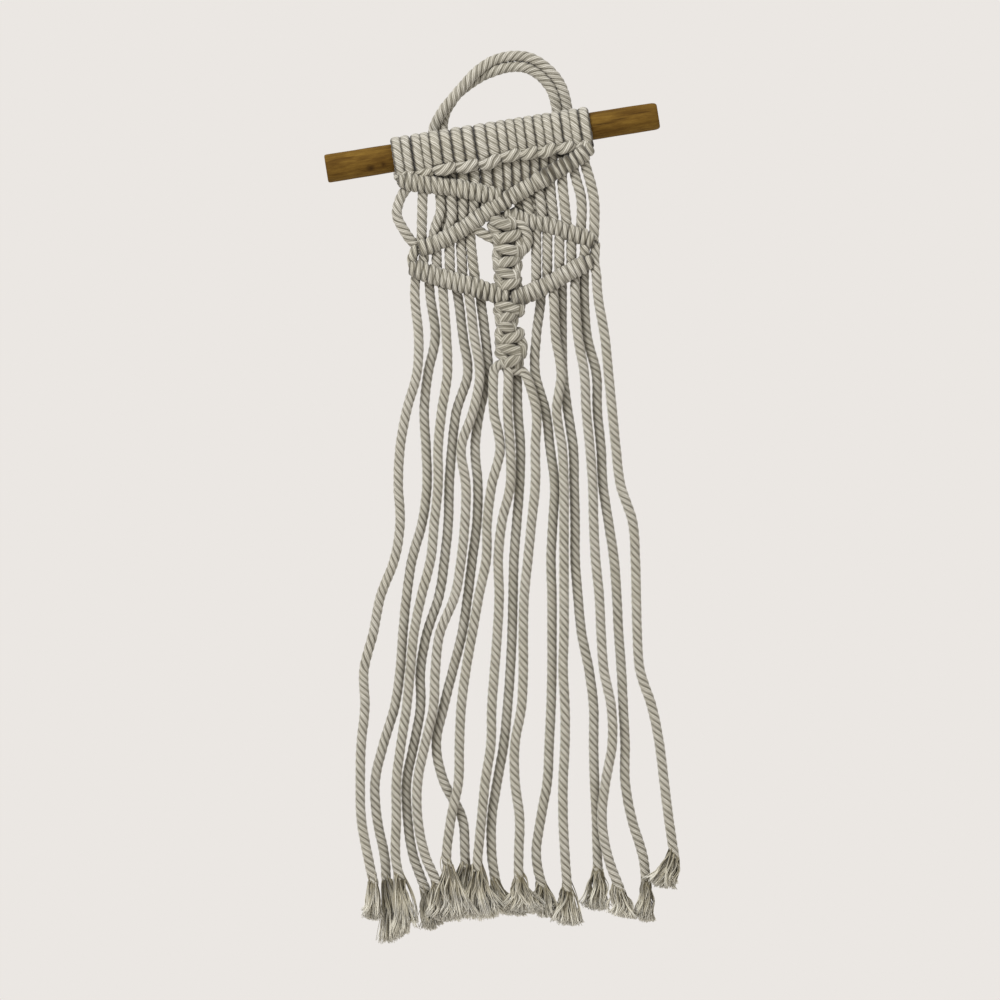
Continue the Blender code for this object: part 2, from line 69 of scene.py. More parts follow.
# Its unevenness, as shares of the radius: ripples with their number round it and their turn for each mm
# along it, and swells with their turn for each mm.
ROD_RIPPLES = ((0.006, 3, 0.05), (0.004, 7, -0.11))
ROD_SWELLS = ((0.006, 0.09), (0.004, 0.31))

# The cord: its radius, its plies, and how far they travel along it in one full, left-handed turn. In its
# mesh, the step along it, the places round a ply, and the points that smooth a line between two places.
CORD_RADIUS = 2.72
PLIES = 4
CORD_LAY = 15.6
CORD_STEP = 1.2
SPAN_POINTS = 24
PLY_ANGLES = np.radians([0, 30, 58, 92, 180, 268, 302, 330])

# How far the plies wander from an even lay, in radians, and over what length. How much their thickness
# varies, as a share, over what length, and by what phase from ply to ply, and how their yarns shift.
WANDER = 0.35
WANDER_STEP = 20.0
PLY_SWELL = 0.03
PLY_SWELL_STEP = 9.0
PLY_SWELL_SHIFT = 2
YARN_SHIFT = 37.0

# A ply: how far its middle is from the cord's, and its radius, as shares of the cord's radius.
PLY = (0.505, 0.51)
PRESSED_PLY = (0.47, 0.55)
LOOP_PLY = (0.47, 0.535)
HITCH_PLY = (0.37, 0.655)
SINNET_PLY = (0.36, 0.625)

# Pressed cords get painted shade at their sides, where they meet their neighbours: by how much in turns and
# in hitches, from what share of the radius, over what share, and how steeply.
EDGE_SHADE = 0.34
HITCH_SHADE = 0.22
EDGE_START = 0.5
EDGE_REACH = 0.42
EDGE_CURVE = 1.6

# The other cords' radii, the panel's middle plane, and how far the panel's strands tuck in behind it.
LOOP_RADIUS = 3.03
LOOP_RISE = 0.4
INNER_RADIUS = 2.85
PANEL_Y = ROD_Y - 6.7
STRAND_TUCK = 2.4
TUCK_CURVE = 0.6

# The fringe: its two layers before and behind the panel's plane, its first place and the step between
# places. Its strands leave the bars tucked back, and leave the square knots beside the plane.
FRINGE_LAYER = 2.85
FRINGE_TOP = -123.5
FRINGE_DROP = 20.0
BAR_TUCK = 0.7
KNOT_TUCK = 1.2

# A turn round the rod: how far its middle is from the wood, its radius, how flat and how wide it is
# pressed, and how unevenly the turns lie along the rod. Its path passes the front, the top and the back
# at these degrees, and ends below the rod at places given as (out, down).
TURN_HEIGHT = 1.9
TURN_RADIUS = 2.45
TURN_PRESS = 0.92
TURN_CLOSE = 1.12
TURN_SCATTER = 0.24
TURN_DEGREES = range(-14, 251, 24)
TURN_STEP = 0.95
TURN_TAIL = ((1.5, 0.8), (4.6, 1.2))

# Where a turn's cord comes from: up from its foot at a bar, by way of a knee below the rod, and behind
# the bump. LAST_FOOT and LAST_KNEE are as far right as it goes.
FRONT_IN = 1.2
FRONT_SHARE = 0.72
KNEE_OUT = 6.0
KNEE_DROP = 2.6
FOOT_ASIDE = 0.5
FOOT_DROP = 1.5
LAST_FOOT = 37.0
LAST_KNEE = 38.0

# The bump that crosses a lark's head: points past its left turn and its right one, each as (along the
# rod, out, up), and how far up its two middle points are. LAST_BUMP is as far along the rod as it goes.
BUMP_RADIUS = 3.2
BUMP_LAY = 17.0
BUMP_LEFT = ((-1.4, -4.2, 0.6), (-0.7, -1.1, 0.1))
BUMP_RIGHT = ((0.7, -1.1, 0.3), (1.4, -4.2, 0.9))
BUMP_MIDDLE = (-0.4, -0.2)
LAST_BUMP = 140.0

# The half hitches on the bars: a coil of cord round a core. Its steps in radians and in mm, how uneven
# its turns are along and across the bar, and how it narrows over its last turns.
HITCH_RADIUS = 2.15
HITCH_PRESS = 0.80
HITCH_PITCH = 3.45
HITCH_LAY = 34.0
HITCH_DEPTH = 0.85
HITCH_TURN_STEP = 0.42
HITCH_STEP = 1.0
HITCH_SCATTER = 0.07
HITCH_SWELL = 0.04
BAR_END = 0.45
BAR_END_TURNS = 1.1
BAR_STEP = 0.5
CORE_RADIUS = 2.4

# The square knots: how far the two cords down their middle are from it, at the top, in the knots and at
# the foot. Where the cords run that cross before and behind those, as (share of the knot's half width
# towards its lead, y, z), and how much of that share's x they keep at the foot.
SINNET_RADIUS = 3.3
SINNET_LAY = 20.0
SINNET_CORES = (2.3, 2.2, 1.8)
SINNET_FOOT = 0.6
SINNET_FRONT = (
    (-1.0, -0.5, 3.0), (-0.72, -3.6, 1.2), (0.0, -5.0, 0.0), (0.72, -3.4, -1.2), (1.0, 0.4, -2.6),
)
SINNET_BACK = (
    (1.02, -2.2, 1.6), (0.9, -3.4, -1.6), (0.45, 3.4, -3.2), (0.0, 4.6, -1.0), (-0.5, 3.4, 0.6),
    (-1.04, -1.6, -1.2),
)

# The frayed ends: yarns in a tuft, fibres in a yarn, and a fibre's mesh and thickness.
YARNS = 46
FIBRES = 7
FIBRE_PLACES = 11
FIBRE_SIDES = np.radians([90, 210, 330])
FIBRE_RADIUS = 0.38
FIBRE_TAPER = 0.19

# A tuft: how far up the cord its yarns part, how much nearer its middle they start there, how much
# wider and longer than its measures it is, how much shorter at its sides, how it spreads in depth, and
# between which squared shares of the cord's radius its yarns lie.
TUFT_ROOT = 7.0
TUFT_NECK = 0.42
TUFT_SPREAD = 1.12
TUFT_EXTRA = 2.2
TUFT_ROUND = 0.10
TUFT_DEPTH = 1.5
TUFT_RING = (0.05, 1.1)

# How unevenly yarns and fibres lie, as standard deviations, and the ranges of their waves.
TIP_SHARE_SCATTER = 0.17
TIP_DEPTH_SCATTER = 0.9
YARN_LENGTH_SCATTER = 0.06
YARN_BEND = 0.8
YARN_WAVES = (4, 11)
YARN_CURL = (0.25, 0.7)
CURL_WIDTH = 13
YARN_PHASE = 6
YARN_HOOK = (1.0, 1.5)
HOOK_START = 0.6
HOOK_REACH = 5
FAN_CURVE = 1.25
DEPTH_CURL = 0.7
TIP_SCATTER = 0.7
ROOT_SCATTER = 0.3
FIBRE_LENGTH_SCATTER = 0.05

# Painted shade of the frayed ends, darker at their roots and inside: how far out a fibre counts for its
# colour at the root, by how far it is from the cord's middle, and towards its tip, with its scatter,
# its curve and its limits.
FRAY_SHADE = (0.64, 0.08, 0.31)
FRAY_SCATTER = 0.06
FRAY_CURVE = 1.1
FRAY_LIMITS = (0.6, 1.05)

# Colours with painted shade by how far out a point of the cord or of a frayed end lies, as (share of the
# radius, colour).
CORD_SHADE_STOPS = (
    (0.45, (0.010, 0.008, 0.004)),
    (0.66, (0.045, 0.037, 0.024)),
    (0.81, (0.155, 0.140, 0.108)),
    (0.91, (0.405, 0.390, 0.340)),
    (1.0, (0.705, 0.690, 0.645)),
)
FRAY_SHADE_STOPS = (
    (0.60, (0.05, 0.04, 0.02)),
    (0.72, (0.22, 0.195, 0.13)),
    (0.84, (0.52, 0.49, 0.40)),
    (0.94, (0.82, 0.80, 0.73)),
    (1.0, (0.92, 0.91, 0.86)),
)

# Tints that darken those colours. Painted shade in hollows, by how open a point is to what is
# HOLLOW_REACH_M metres round it. Painted shade between yarns, and tints in streaks, for the cord and for
# the frayed ends. In patches and by cord. YARN_SHARES and STREAK_SHARES are where those of the yarns and
# streaks start and end.
WHITE = (1.0, 1.0, 1.0)
HOLLOW_REACH_M = 0.004
HOLLOW_SAMPLES = 8
CORD_HOLLOW_SHADE = (
    (0.0, (0.10, 0.085, 0.06)), (0.35, (0.50, 0.475, 0.43)), (0.65, (0.90, 0.89, 0.87)), (0.9, WHITE),
)
FRAY_HOLLOW_SHADE = ((0.0, (0.42, 0.38, 0.30)), (0.3, (0.86, 0.84, 0.80)), (0.55, WHITE))
CORD_YARN_SHADE = (0.48, 0.46, 0.41)
CORD_STREAK_TINT = (0.50, 0.485, 0.44)
FRAY_YARN_SHADE_AND_STREAK_TINT = (0.90, 0.89, 0.86)
PATCH_STOPS = ((0.3, (0.90, 0.89, 0.85)), (0.7, WHITE))
TONE_STOPS = ((0.2, (0.93, 0.93, 0.90)), (0.8, WHITE))
TONE_REACH = 0.12
YARN_SHARES = (0.0, 0.6)
STREAK_SHARES = (0.36, 0.62)

# The yarns of a ply: how many there are round it, how far they lean for each mm, how much they
# wobble, how long their streaks are, and how much their fuzz adds to their height.
PLY_YARNS = 9.0
YARN_LEAN = 0.42
YARN_WOBBLE = 3.0
STREAK_STRETCH = 0.25
FUZZ_HEIGHT = 0.6

# The wood's colours by its grain, and the tint of its broad bands.
GRAIN_STOPS = ((0.32, (0.099, 0.051, 0.007)), (0.5, (0.138, 0.076, 0.012)), (0.68, (0.178, 0.104, 0.018)))
BAND_STOPS = ((0.36, (0.62, 0.57, 0.50)), (0.62, WHITE))
GRAIN_STRETCH = (0.16, 1.0, 1.0)

# Dark marks on the wood, two knots and three lengths of a crack: each one's middle and its size as
# (along the rod, up, out), and its tint. They fade out between two shares of that size.
WOOD_MARKS = (
    ((24.0, -3.4, 6.4), (2.4, 1.8, 4.0), (0.30, 0.25, 0.20)),
    ((31.0, -2.6, 6.4), (1.6, 1.6, 4.0), (0.42, 0.36, 0.28)),
    ((151.5, 0.2, 6.5), (7.0, 0.42, 4.0), (0.22, 0.17, 0.12)),
    ((160.0, 1.4, 6.5), (5.0, 0.38, 4.0), (0.30, 0.24, 0.17)),
    ((172.0, 3.0, 6.0), (7.0, 0.5, 4.0), (0.45, 0.38, 0.28)),
)
MARK_FADE = (0.28, 0.85)

# The stage, in metres: the floor, the surround, and lights as (name, place, size, power in watts).
FLOOR_SIZE_M = 5.0
FLOOR_Z_M = -1.05
FLOOR_COLOUR = (0.80, 0.78, 0.75, 1)
SURROUND_COLOUR = (0.831, 0.799, 0.768, 1)
LIGHTS = (
    ("key", (-0.9, -1.4, 1.2), 0.7, 34.0),
    ("fill", (1.3, -1.6, -0.1), 1.2, 3.0),
)
LIGHT_AIM_M = (0, 0, -0.22)

# The camera: straight on, far off with a long lens, before the middle of the picture.
VIEW_MIDDLE = (-7.56, -231.66)
CAMERA_AWAY_M = 9.0
LENS_MM = 600.0
SENSOR_MM = 36.0


class Knot(NamedTuple):
    """A lark's head: where its two turns are along the rod from the left end, how wide each is
    pressed, and how far below the rod's axis the bump across them lies, how much higher its right end
    is, and how far in front of the axis it lies."""

    left: float
    right: float
    width: float
    low: float
    rise: float
    out: float


KNOTS = (
    Knot(39.5, 44.7, 5.3, 10.4, 0.0, 7.2),
    Knot(49.8, 55.0, 5.3, 10.4, 0.0, 7.2),
    Knot(72.3, 78.5, 6.2, 10.9, 0.2, 10.3),
    Knot(84.9, 91.3, 6.4, 11.2, 1.2, 10.3),
    Knot(96.9, 101.9, 5.4, 9.0, 0.3, 10.5),
    Knot(106.9, 111.9, 5.4, 9.4, 0.3, 10.2),
    Knot(116.9, 121.8, 5.3, 9.9, 1.0, 10.4),
    Knot(136.6, 141.8, 5.4, 10.0, 0.6, 7.6),
)
HANGER_KNOTS = (Knot(60.4, 66.0, 5.8, 10.4, 0.0, 10.2), Knot(126.9, 131.6, 5.2, 9.4, 0.3, 9.6))


class Bar(NamedTuple):
    """A bar of half hitches: its thickness, how far before the panel's plane it is, and its line as
    (x, z)."""

    thickness: float
    forward: float
    line: tuple


LEFT_BAR = Bar(
    9.9, 1.4, ((-61.5, -58.6), (-51, -61), (-40, -62), (-29, -63.5), (-18.5, -66), (-6, -68.5)),
)
LONG_BAR = Bar(
    9.4, 2.2,
    ((41, -41.2), (35.5, -46), (25, -52.5), (14, -59), (3, -65.5), (-7.5, -71.5), (-18.5, -79),
     (-29, -86), (-40, -92), (-51, -96.5)),
)
BARS = (
    LEFT_BAR,
    LONG_BAR,
    Bar(9.4, 0.3,
        ((-4.5, -76.5), (3, -80), (11.5, -82), (19.5, -83.5), (27.5, -86.5), (35.5, -89), (43.5, -92.5))),
    Bar(10.4, 2.6,
        ((-55.5, -106), (-45.5, -109.5), (-34.5, -113), (-24, -116), (-13, -119.5), (-2, -122))),
    Bar(9.8, 3.4,
        ((41, -102.5), (30, -108.5), (19.5, -114.5), (8.5, -120), (-2.5, -123.5))),
)


class Strand(NamedTuple):
    """A length of cord inside the panel: how far before its plane it is, and its line as (x, z)."""

    forward: float
    line: tuple


STRANDS = (
    Strand(0.0, ((-56, -61), (-60.5, -67), (-63, -74), (-63, -79), (-60, -85), (-56, -91), (-51, -95.5))),
    Strand(0.6, ((-49, -61), (-49.5, -72.5), (-50, -95))),
    Strand(0.0, ((-40.5, -62), (-39.5, -75), (-42, -83), (-44.5, -94))),
    Strand(0.8, ((-34.5, -63), (-33.5, -78), (-37, -90))),
    Strand(0.0, ((-27.5, -64), (-27.5, -85))),
    Strand(0.5, ((-21.5, -65), (-21.5, -80.5))),
    Strand(0.0, ((-15.5, -67), (-15.5, -77))),
    Strand(0.0, ((4.5, -64), (7.5, -72.5), (9, -81))),
    Strand(0.6, ((12, -60), (14.5, -71.5), (15, -82.5))),
    Strand(0.0, ((19, -56), (20, -67), (22, -85))),
    Strand(0.5, ((25.5, -52.5), (26.5, -64.5), (29, -87))),
    Strand(0.0, ((31, -49), (34, -60), (36.5, -71), (36, -89))),
    Strand(0.4, ((36.5, -45), (41, -59), (43.5, -73), (43, -92))),
    Strand(0.4, ((12, -82), (12, -118))),
    Strand(0.0, ((18, -83), (18, -115))),
    Strand(0.6, ((24.5, -85), (24.5, -111))),
    Strand(0.0, ((31, -87), (31, -108))),
    Strand(0.5, ((38.5, -90), (38, -104))),
    Strand(0.5, ((-48.5, -95), (-49, -108))),
    Strand(0.0, ((-42, -93), (-41.5, -110.5))),
    Strand(0.6, ((-35, -89), (-34.5, -113))),
    Strand(0.0, ((-29, -86), (-27.5, -115))),
    Strand(0.4, ((-24, -83), (-23, -96.5), (-20.5, -116.5))),
    Strand(-2.2, ((-35, -47), (-33, -54), (-32.5, -62))),
    Strand(-2.2, ((-39, -49), (-38, -56), (-37.5, -63))),
    Strand(-2.2, ((-54.5, -47), (-54, -60))),
    Strand(-2.6, ((-31, -64), (-30.5, -75), (-33, -88))),
    Strand(-2.6, ((-24.5, -65), (-24, -74), (-26, -84))),
    Strand(-2.6, ((-18.5, -66), (-18, -72), (-20, -80))),
    Strand(-2.6, ((-37.5, -62), (-36, -74), (-40, -90))),
    Strand(-2.6, ((0.5, -67), (3, -73), (5, -80))),
    Strand(-2.4, ((8, -62), (11, -72), (12.5, -82))),
    Strand(-2.4, ((16, -58), (17.5, -68), (18.5, -84))),
    Strand(0.8, ((-52.5, -95), (-55, -101), (-54, -106))),
    Strand(1.5, ((-25, -84.5), (-20, -86), (-14.5, -89), (-8, -92))),
    Strand(3.4, ((1, -80), (5.6, -85), (7.4, -90), (6.2, -95.5), (2.5, -99))),
)


class HalfKnot(NamedTuple):
    """Half a square knot: its middle and its half width in x, its z, and the side its front cord
    crosses to, 1 for the right and -1 for the left."""

    middle: float
    reach: float
    height: float
    lead: int


class Sinnet(NamedTuple):
    """A column of square knots: the z of its top and its bottom, and its half knots downwards."""

    top: float
    bottom: float
    knots: tuple


SINNETS = (
    Sinnet(-77.0, -119.0, (
        HalfKnot(-6.4, 5.0, -82.5, 1),
        HalfKnot(-3.2, 5.6, -89.8, -1),
        HalfKnot(-3.0, 5.4, -96.6, 1),
        HalfKnot(-3.6, 5.0, -103.2, -1),
        HalfKnot(-3.6, 4.2, -109.6, 1),
        HalfKnot(-3.0, 4.4, -115.2, -1),
    )),
    Sinnet(-121.0, -161.0, (
        HalfKnot(-2.6, 5.6, -127.6, 1),
        HalfKnot(-4.0, 3.4, -133.2, -1),
        HalfKnot(-4.0, 2.6, -138.4, 1),
        HalfKnot(-2.2, 5.2, -144.4, -1),
        HalfKnot(-1.6, 5.8, -150.4, 1),
        HalfKnot(-1.2, 3.4, -156.4, -1),
    )),
)


class FringeStrand(NamedTuple):
    """A strand of the fringe: its layer, 1 before the panel's plane and -1 behind it, where it leaves
    the knots as (x, z), the number of its first place down the fringe, its x at each place from there
    on, and where its twist ends and the fraying begins as (x, z)."""

    name: str
    layer: int
    root: tuple
    first: int
    places: tuple
    end: tuple


FRINGE = (
    FringeStrand("s01", 1, ((-53, -108),), 0,
        (-53.5, -51.5, -52.5, -58, -61.5, -62.5, -61.5, -64.5, -72, -76, -81, -80.5,
         -82.5, -83, -82.5, -79), (-75.5, -439.5)),
    FringeStrand("s02", -1, ((-46, -111),), 0,
        (-45, -42.5, -46.5, -48.5, -47.5, -47, -49.5, -55, -58, -60, -61.5, -64.5, -70.5,
         -75, -74, -70), (-69, -437)),
    FringeStrand("s03", 1, ((-39, -112),), 0,
        (-38, -36.5, -36, -39, -41, -41, -43, -45, -50, -54, -56, -58, -61, -63.5, -63.5, -64),
        (-61.5, -437)),
    FringeStrand("s04", -1, ((-32, -114),), 0,
        (-30, -27.5, -25, -31, -33.5, -35, -35.5, -37.5, -40.5, -47, -50.5, -50.5, -54,
         -58, -57.5, -54.5), (-47, -444)),
    FringeStrand("s05", 1, ((-26, -116),), 0,
        (-24, -21.5, -18.5, -22, -28.5, -26, -26.5, -28.5, -32, -40, -42.5, -43.5, -48,
         -52, -52, -48), (-40, -441)),
    FringeStrand("s06", -1, ((-18.5, -117),), 0,
        (-18, -15.5, -14, -18.5, -21, -19.5, -20, -22.5, -25, -28, -33, -38, -42, -38,
         -28, -26.5), (-26, -430.5)),
    FringeStrand("s07", 1, ((-4, -157), (-8.5, -159)), 2,
        (-11, -11, -7.5, -12, -14.5, -15, -19, -22.5, -26, -28.5, -29.5, -30, -34, -36.5), (-35, -430.5)),
    FringeStrand("s08", 1, ((-4, -156),), 2,
        (-3, -3.5, -2, -2, -6.5, -8.5, -8, -9, -10.5, -12, -12.5, -15.5, -17.5, -19.5), (-20, -432.5)),
    FringeStrand("s09", -1, ((-1, -156),), 2,
        (1.5, 2, 3.5, 3, 1.5, 0, -0.5, -1, -2, -3.5, -5.5, -9, -12, -12), (-9.5, -440)),
    FringeStrand("s10", 1, ((-5, -161.5), (2, -162), (6.5, -164.5)), 3,
        (12, 11.5, 11.5, 9.5, 7.5, 5.5, 5, 5, 4, 0.5, 0.5, 3, 2.5), (2.5, -437)),
    FringeStrand("s11", -1, ((13.5, -117),), 0,
        (14.5, 12, 11.5, 17, 19.5, 22, 21, 20, 20.5, 20.5, 20.5, 20, 19, 18, 14.5, 12), (15.5, -442.5)),
    FringeStrand("s12", 1, ((20.5, -113),), 0,
        (21.5, 22.5, 25.5, 23, 26, 27, 27, 27, 27, 27, 26.5, 27.5, 27.5, 26.5, 26.5, 27.5), (29, -443.5)),
    FringeStrand("s13", -1, ((26, -111),), 0,
        (26, 26, 26.5, 29, 32, 32.5, 33, 33, 34.5, 36.5, 40.5, 43, 43, 43.5, 44.5, 45), (45.5, -433.5)),
    FringeStrand("s14", 1, ((33, -107),), 0,
        (33, 34.5, 38, 39, 41, 42.5, 43, 44, 46, 47, 48.5, 52.5, 53, 49.5, 47.5, 50.5), (58, -444)),
    FringeStrand("s15", -1, ((38, -105),), 0,
        (38, 39.5, 44.5, 45, 47, 48, 51, 54, 55.5, 56.5, 58, 59, 60, 60, 63.5, 69.5), (71.5, -439)),
    FringeStrand("s16", 1, ((44, -93), (43.5, -103), (44.5, -111)), 0,
        (45.5, 49, 51, 53, 55, 57.5, 64, 65.5, 66, 66.5, 68, 74.5, 78.5, 81, 83.5, 86.5), (86.5, -425)),
)


class Tuft(NamedTuple):
    """The frayed end of a strand, measured from where its twist ends: how far its fibres spread to
    the left and right, and how far they fall on each side."""

    strand: str
    left: float
    right: float
    drop_left: float
    drop_right: float


TUFTS = (
    Tuft("s01", -5.5, 3.5, 17, 18),
    Tuft("s02", -1.5, 8, 36, 28),
    Tuft("s03", -3, 8, 33, 24),
    Tuft("s04", -2, 9, 21, 15),
    Tuft("s05", -5, 13, 16, 17),
    Tuft("s06", -9, 12, 21, 27),
    Tuft("s07", -6, 14, 24, 27),
    Tuft("s08", -6, 13, 26, 23),
    Tuft("s09", 2, 15, 13, 16),
    Tuft("s10", -6, 12, 15, 16),
    Tuft("s11", -7, 11, 12, 14),
    Tuft("s12", -6, 7.5, 16, 17),
    Tuft("s13", -9, 4.5, 16, 20),
    Tuft("s14", -5, 8, 10, 13),
    Tuft("s15", -5, 3, 18, 20),
    Tuft("s16", -13.5, -1.5, 11, 17),
)


# The doubled hanging cord: its outer and its inner strand, each from its left foot to its right one.
HANGER_ROUTES = (
    (
        (-41, -12.5, -54.8), (-41, -8, -55), (-41.4, -3, -52), (-42.5, 0, -46), (-43.8, 0, -38),
        (-43, -1.2, -30), (-38.5, -2.9, -21.5), (-32.5, -2.9, -14), (-27, -2.9, -7.5),
        (-22, -2.4, -2), (-17, -1.2, 2.3), (-12, 0, 5.3), (-7, 0, 7.2), (-2, 0, 8.1), (3, 0, 8.2),
        (8, 0, 7.5), (12.7, 0, 5.3), (17.8, 0, 1.7), (22.6, 0, -3.4), (25.5, 0, -8), (27.8, 0, -15),
        (29, 0, -22), (29.4, 0, -30), (29.6, 0, -36), (29.8, -3, -41), (29.8, -8, -43.9),
        (29.8, -12.5, -43.7),
    ),
    (
        (-35.4, -12.5, -53.9), (-35.4, -8, -54.1), (-35.8, -3, -51), (-37, 0, -45), (-38.4, 0, -37),
        (-38.6, 1.5, -29), (-37.3, 2.9, -22.5), (-34.5, 2.9, -17.5), (-31, 2.9, -12.5),
        (-25, 2.9, -7.5), (-19, 2.4, -3.5), (-13.5, 0.6, -0.9), (-8, 0, 1), (-2.5, 0, 2.3),
        (3, 0, 2.5), (8.5, 0, 1.2), (13, 0, -1.5), (16.6, 0, -4.8), (20.2, 0, -9.6), (22.3, 0, -16),
        (23.5, 0, -22), (24.1, 0, -30), (24.5, 0, -37), (25, -3, -42), (25.2, -8, -44.7),
        (25.2, -12.5, -44.5),
    ),
)


def unit(rows):
    """Each row of vectors at length one."""
    return rows / np.linalg.norm(rows, axis=-1, keepdims=True)


def travelled(points):
    """How far along the line each point is."""
    return np.concatenate([[0], np.cumsum(np.linalg.norm(np.diff(points, axis=0), axis=1))])


def between(places, known, rows):
    """Vectors at places between the known ones."""
    return np.stack([np.interp(places, known, rows[:, axis]) for axis in range(3)], 1)


def spaced(points, step):
    """The same line with its points an even step apart."""
    along = travelled(points)
    count = max(3, int(round(along[-1] / step)) + 1)
    return between(np.linspace(0, along[-1], count), along, points)


def smooth(points, step=CORD_STEP):
    """Points an even step apart on a Catmull-Rom curve through the given ones."""
    points = np.asarray(points, float)
    ends = np.vstack([2 * points[0] - points[1], points, 2 * points[-1] - points[-2]])
    t = np.linspace(0, 1, SPAN_POINTS, endpoint=False)[:, None]
    fine = []
    for before, start, end, after in zip(ends, ends[1:], ends[2:], ends[3:]):
        fine.append(0.5 * (
            2 * start
            + (end - before) * t
            + (2 * before - 5 * start + 4 * end - after) * t**2
            + (3 * start - before - 3 * end + after) * t**3
        ))
    return spaced(np.vstack([*fine, points[-1:]]), step)


def frames(path):
    """The line's direction at each point, and two directions square to it that don't twist."""
    ahead = unit(np.gradient(path, axis=0))
    side = np.empty_like(path)
    guess = FRONT
    if abs(ahead[0] @ guess) > 0.9:  # a line that starts towards the front
        guess = np.array([1.0, 0.0, 0.0])
    for index, direction in enumerate(ahead):
        guess = guess - direction * (guess @ direction)
        guess = guess / np.linalg.norm(guess)
        side[index] = guess
    return ahead, side, np.cross(ahead, side)


def rings_round(path, reach, angles, up, across):
    """Rings round a path, with a point at each of the angles, turned from up towards across."""
    return path[:, None] + reach * (
        np.cos(angles)[None, :, None] * up[:, None]
        + np.sin(angles)[None, :, None] * across[:, None]
    )


class Skin:
    """Gathers tubes into one mesh, with a map round and along each and how deep each point lies, which sets
    its painted shade.
    """

    def __init__(self):
        self.points = []
        self.corners = []
        self.sizes = []
        self.maps = []
        self.shade_depths = []
        self.tones = []
        self.count = 0

    def tube(self, rings, along, turns, shade_depth, tone):
        """A closed tube through the rings, which are (places, sides, 3)."""
        places, sides = rings.shape[:2]
        index = np.arange(places * sides).reshape(places, sides) + self.count
        here, after = index[:-1], index[1:]
        quads = np.stack([here, np.roll(here, -1, 1), np.roll(after, -1, 1), after], -1)
        self.points.append(rings.reshape(-1, 3))
        self.corners += [quads.reshape(-1), index[0, ::-1], index[-1]]
        self.sizes += [np.full((places - 1) * sides, 4), [sides], [sides]]
        self.maps += [self.quad_map(along, turns), np.zeros((sides, 2)), np.zeros((sides, 2))]
        self.shade_depths.append(np.broadcast_to(shade_depth, (places, sides)).reshape(-1))
        self.tones.append(np.full(places * sides, tone))
        self.count += places * sides

    @staticmethod
    def quad_map(along, turns):
        """Where each corner of a tube's quads lies: round the tube as a share, and along it."""
        around = np.append(turns, 1.0)
        flat = np.zeros((len(along) - 1, len(turns), 4, 2))
        flat[..., 0, 0] = flat[..., 3, 0] = around[None, :-1]
        flat[..., 1, 0] = flat[..., 2, 0] = around[None, 1:]
        flat[..., 0, 1] = flat[..., 1, 1] = along[:-1, None]
        flat[..., 2, 1] = flat[..., 3, 1] = along[1:, None]
        return flat.reshape(-1, 2)

    def mesh(self, name):
        """The gathered tubes as a mesh in metres, with their map, the depths that set their painted shade,
        and their tones.
        """
        points = np.concatenate(self.points) * MM
        corners = np.concatenate(self.corners)
        sizes = np.concatenate(self.sizes)
        starts = np.concatenate([[0], np.cumsum(sizes)[:-1]])
        mesh = bpy.data.meshes.new(name)
        mesh.vertices.add(len(points))
        mesh.vertices.foreach_set("co", points.ravel())
        mesh.loops.add(len(corners))
        mesh.loops.foreach_set("vertex_index", corners.astype(np.int32))
        mesh.polygons.add(len(sizes))
        mesh.polygons.foreach_set("loop_start", starts.astype(np.int32))
        mesh.update(calc_edges=True)
        layer = mesh.uv_layers.new(name="cord")
        layer.uv.foreach_set("vector", np.concatenate(self.maps).ravel())
        for label, values in (("shade_depth", self.shade_depths), ("tone", self.tones)):
            layer = mesh.attributes.new(label, "FLOAT", "POINT")
            layer.data.foreach_set("value", np.concatenate(values).astype(np.float32))
        mesh.shade_smooth()
        return mesh

    def piece(self, name, material, slot):
        """The gathered tubes as a smooth object that rides on the part."""
        mesh = self.mesh(name)
        mesh.materials.append(material)
        piece = bpy.data.objects.new(name, mesh)
        bpy.context.scene.collection.objects.link(piece)
        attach(piece, "root")
        return piece


def ply_rings(path, side, other, angle, ply_reach, thick):
    """The rings of one ply, which winds round the path."""
    out = np.cos(angle) * side + np.sin(angle) * other
    middle = path + out * ply_reach
    forward = unit(np.gradient(middle, axis=0))
    out = unit(out - forward * np.sum(out * forward, axis=1, keepdims=True))
    return rings_round(middle, thick, PLY_ANGLES, out, np.cross(forward, out))


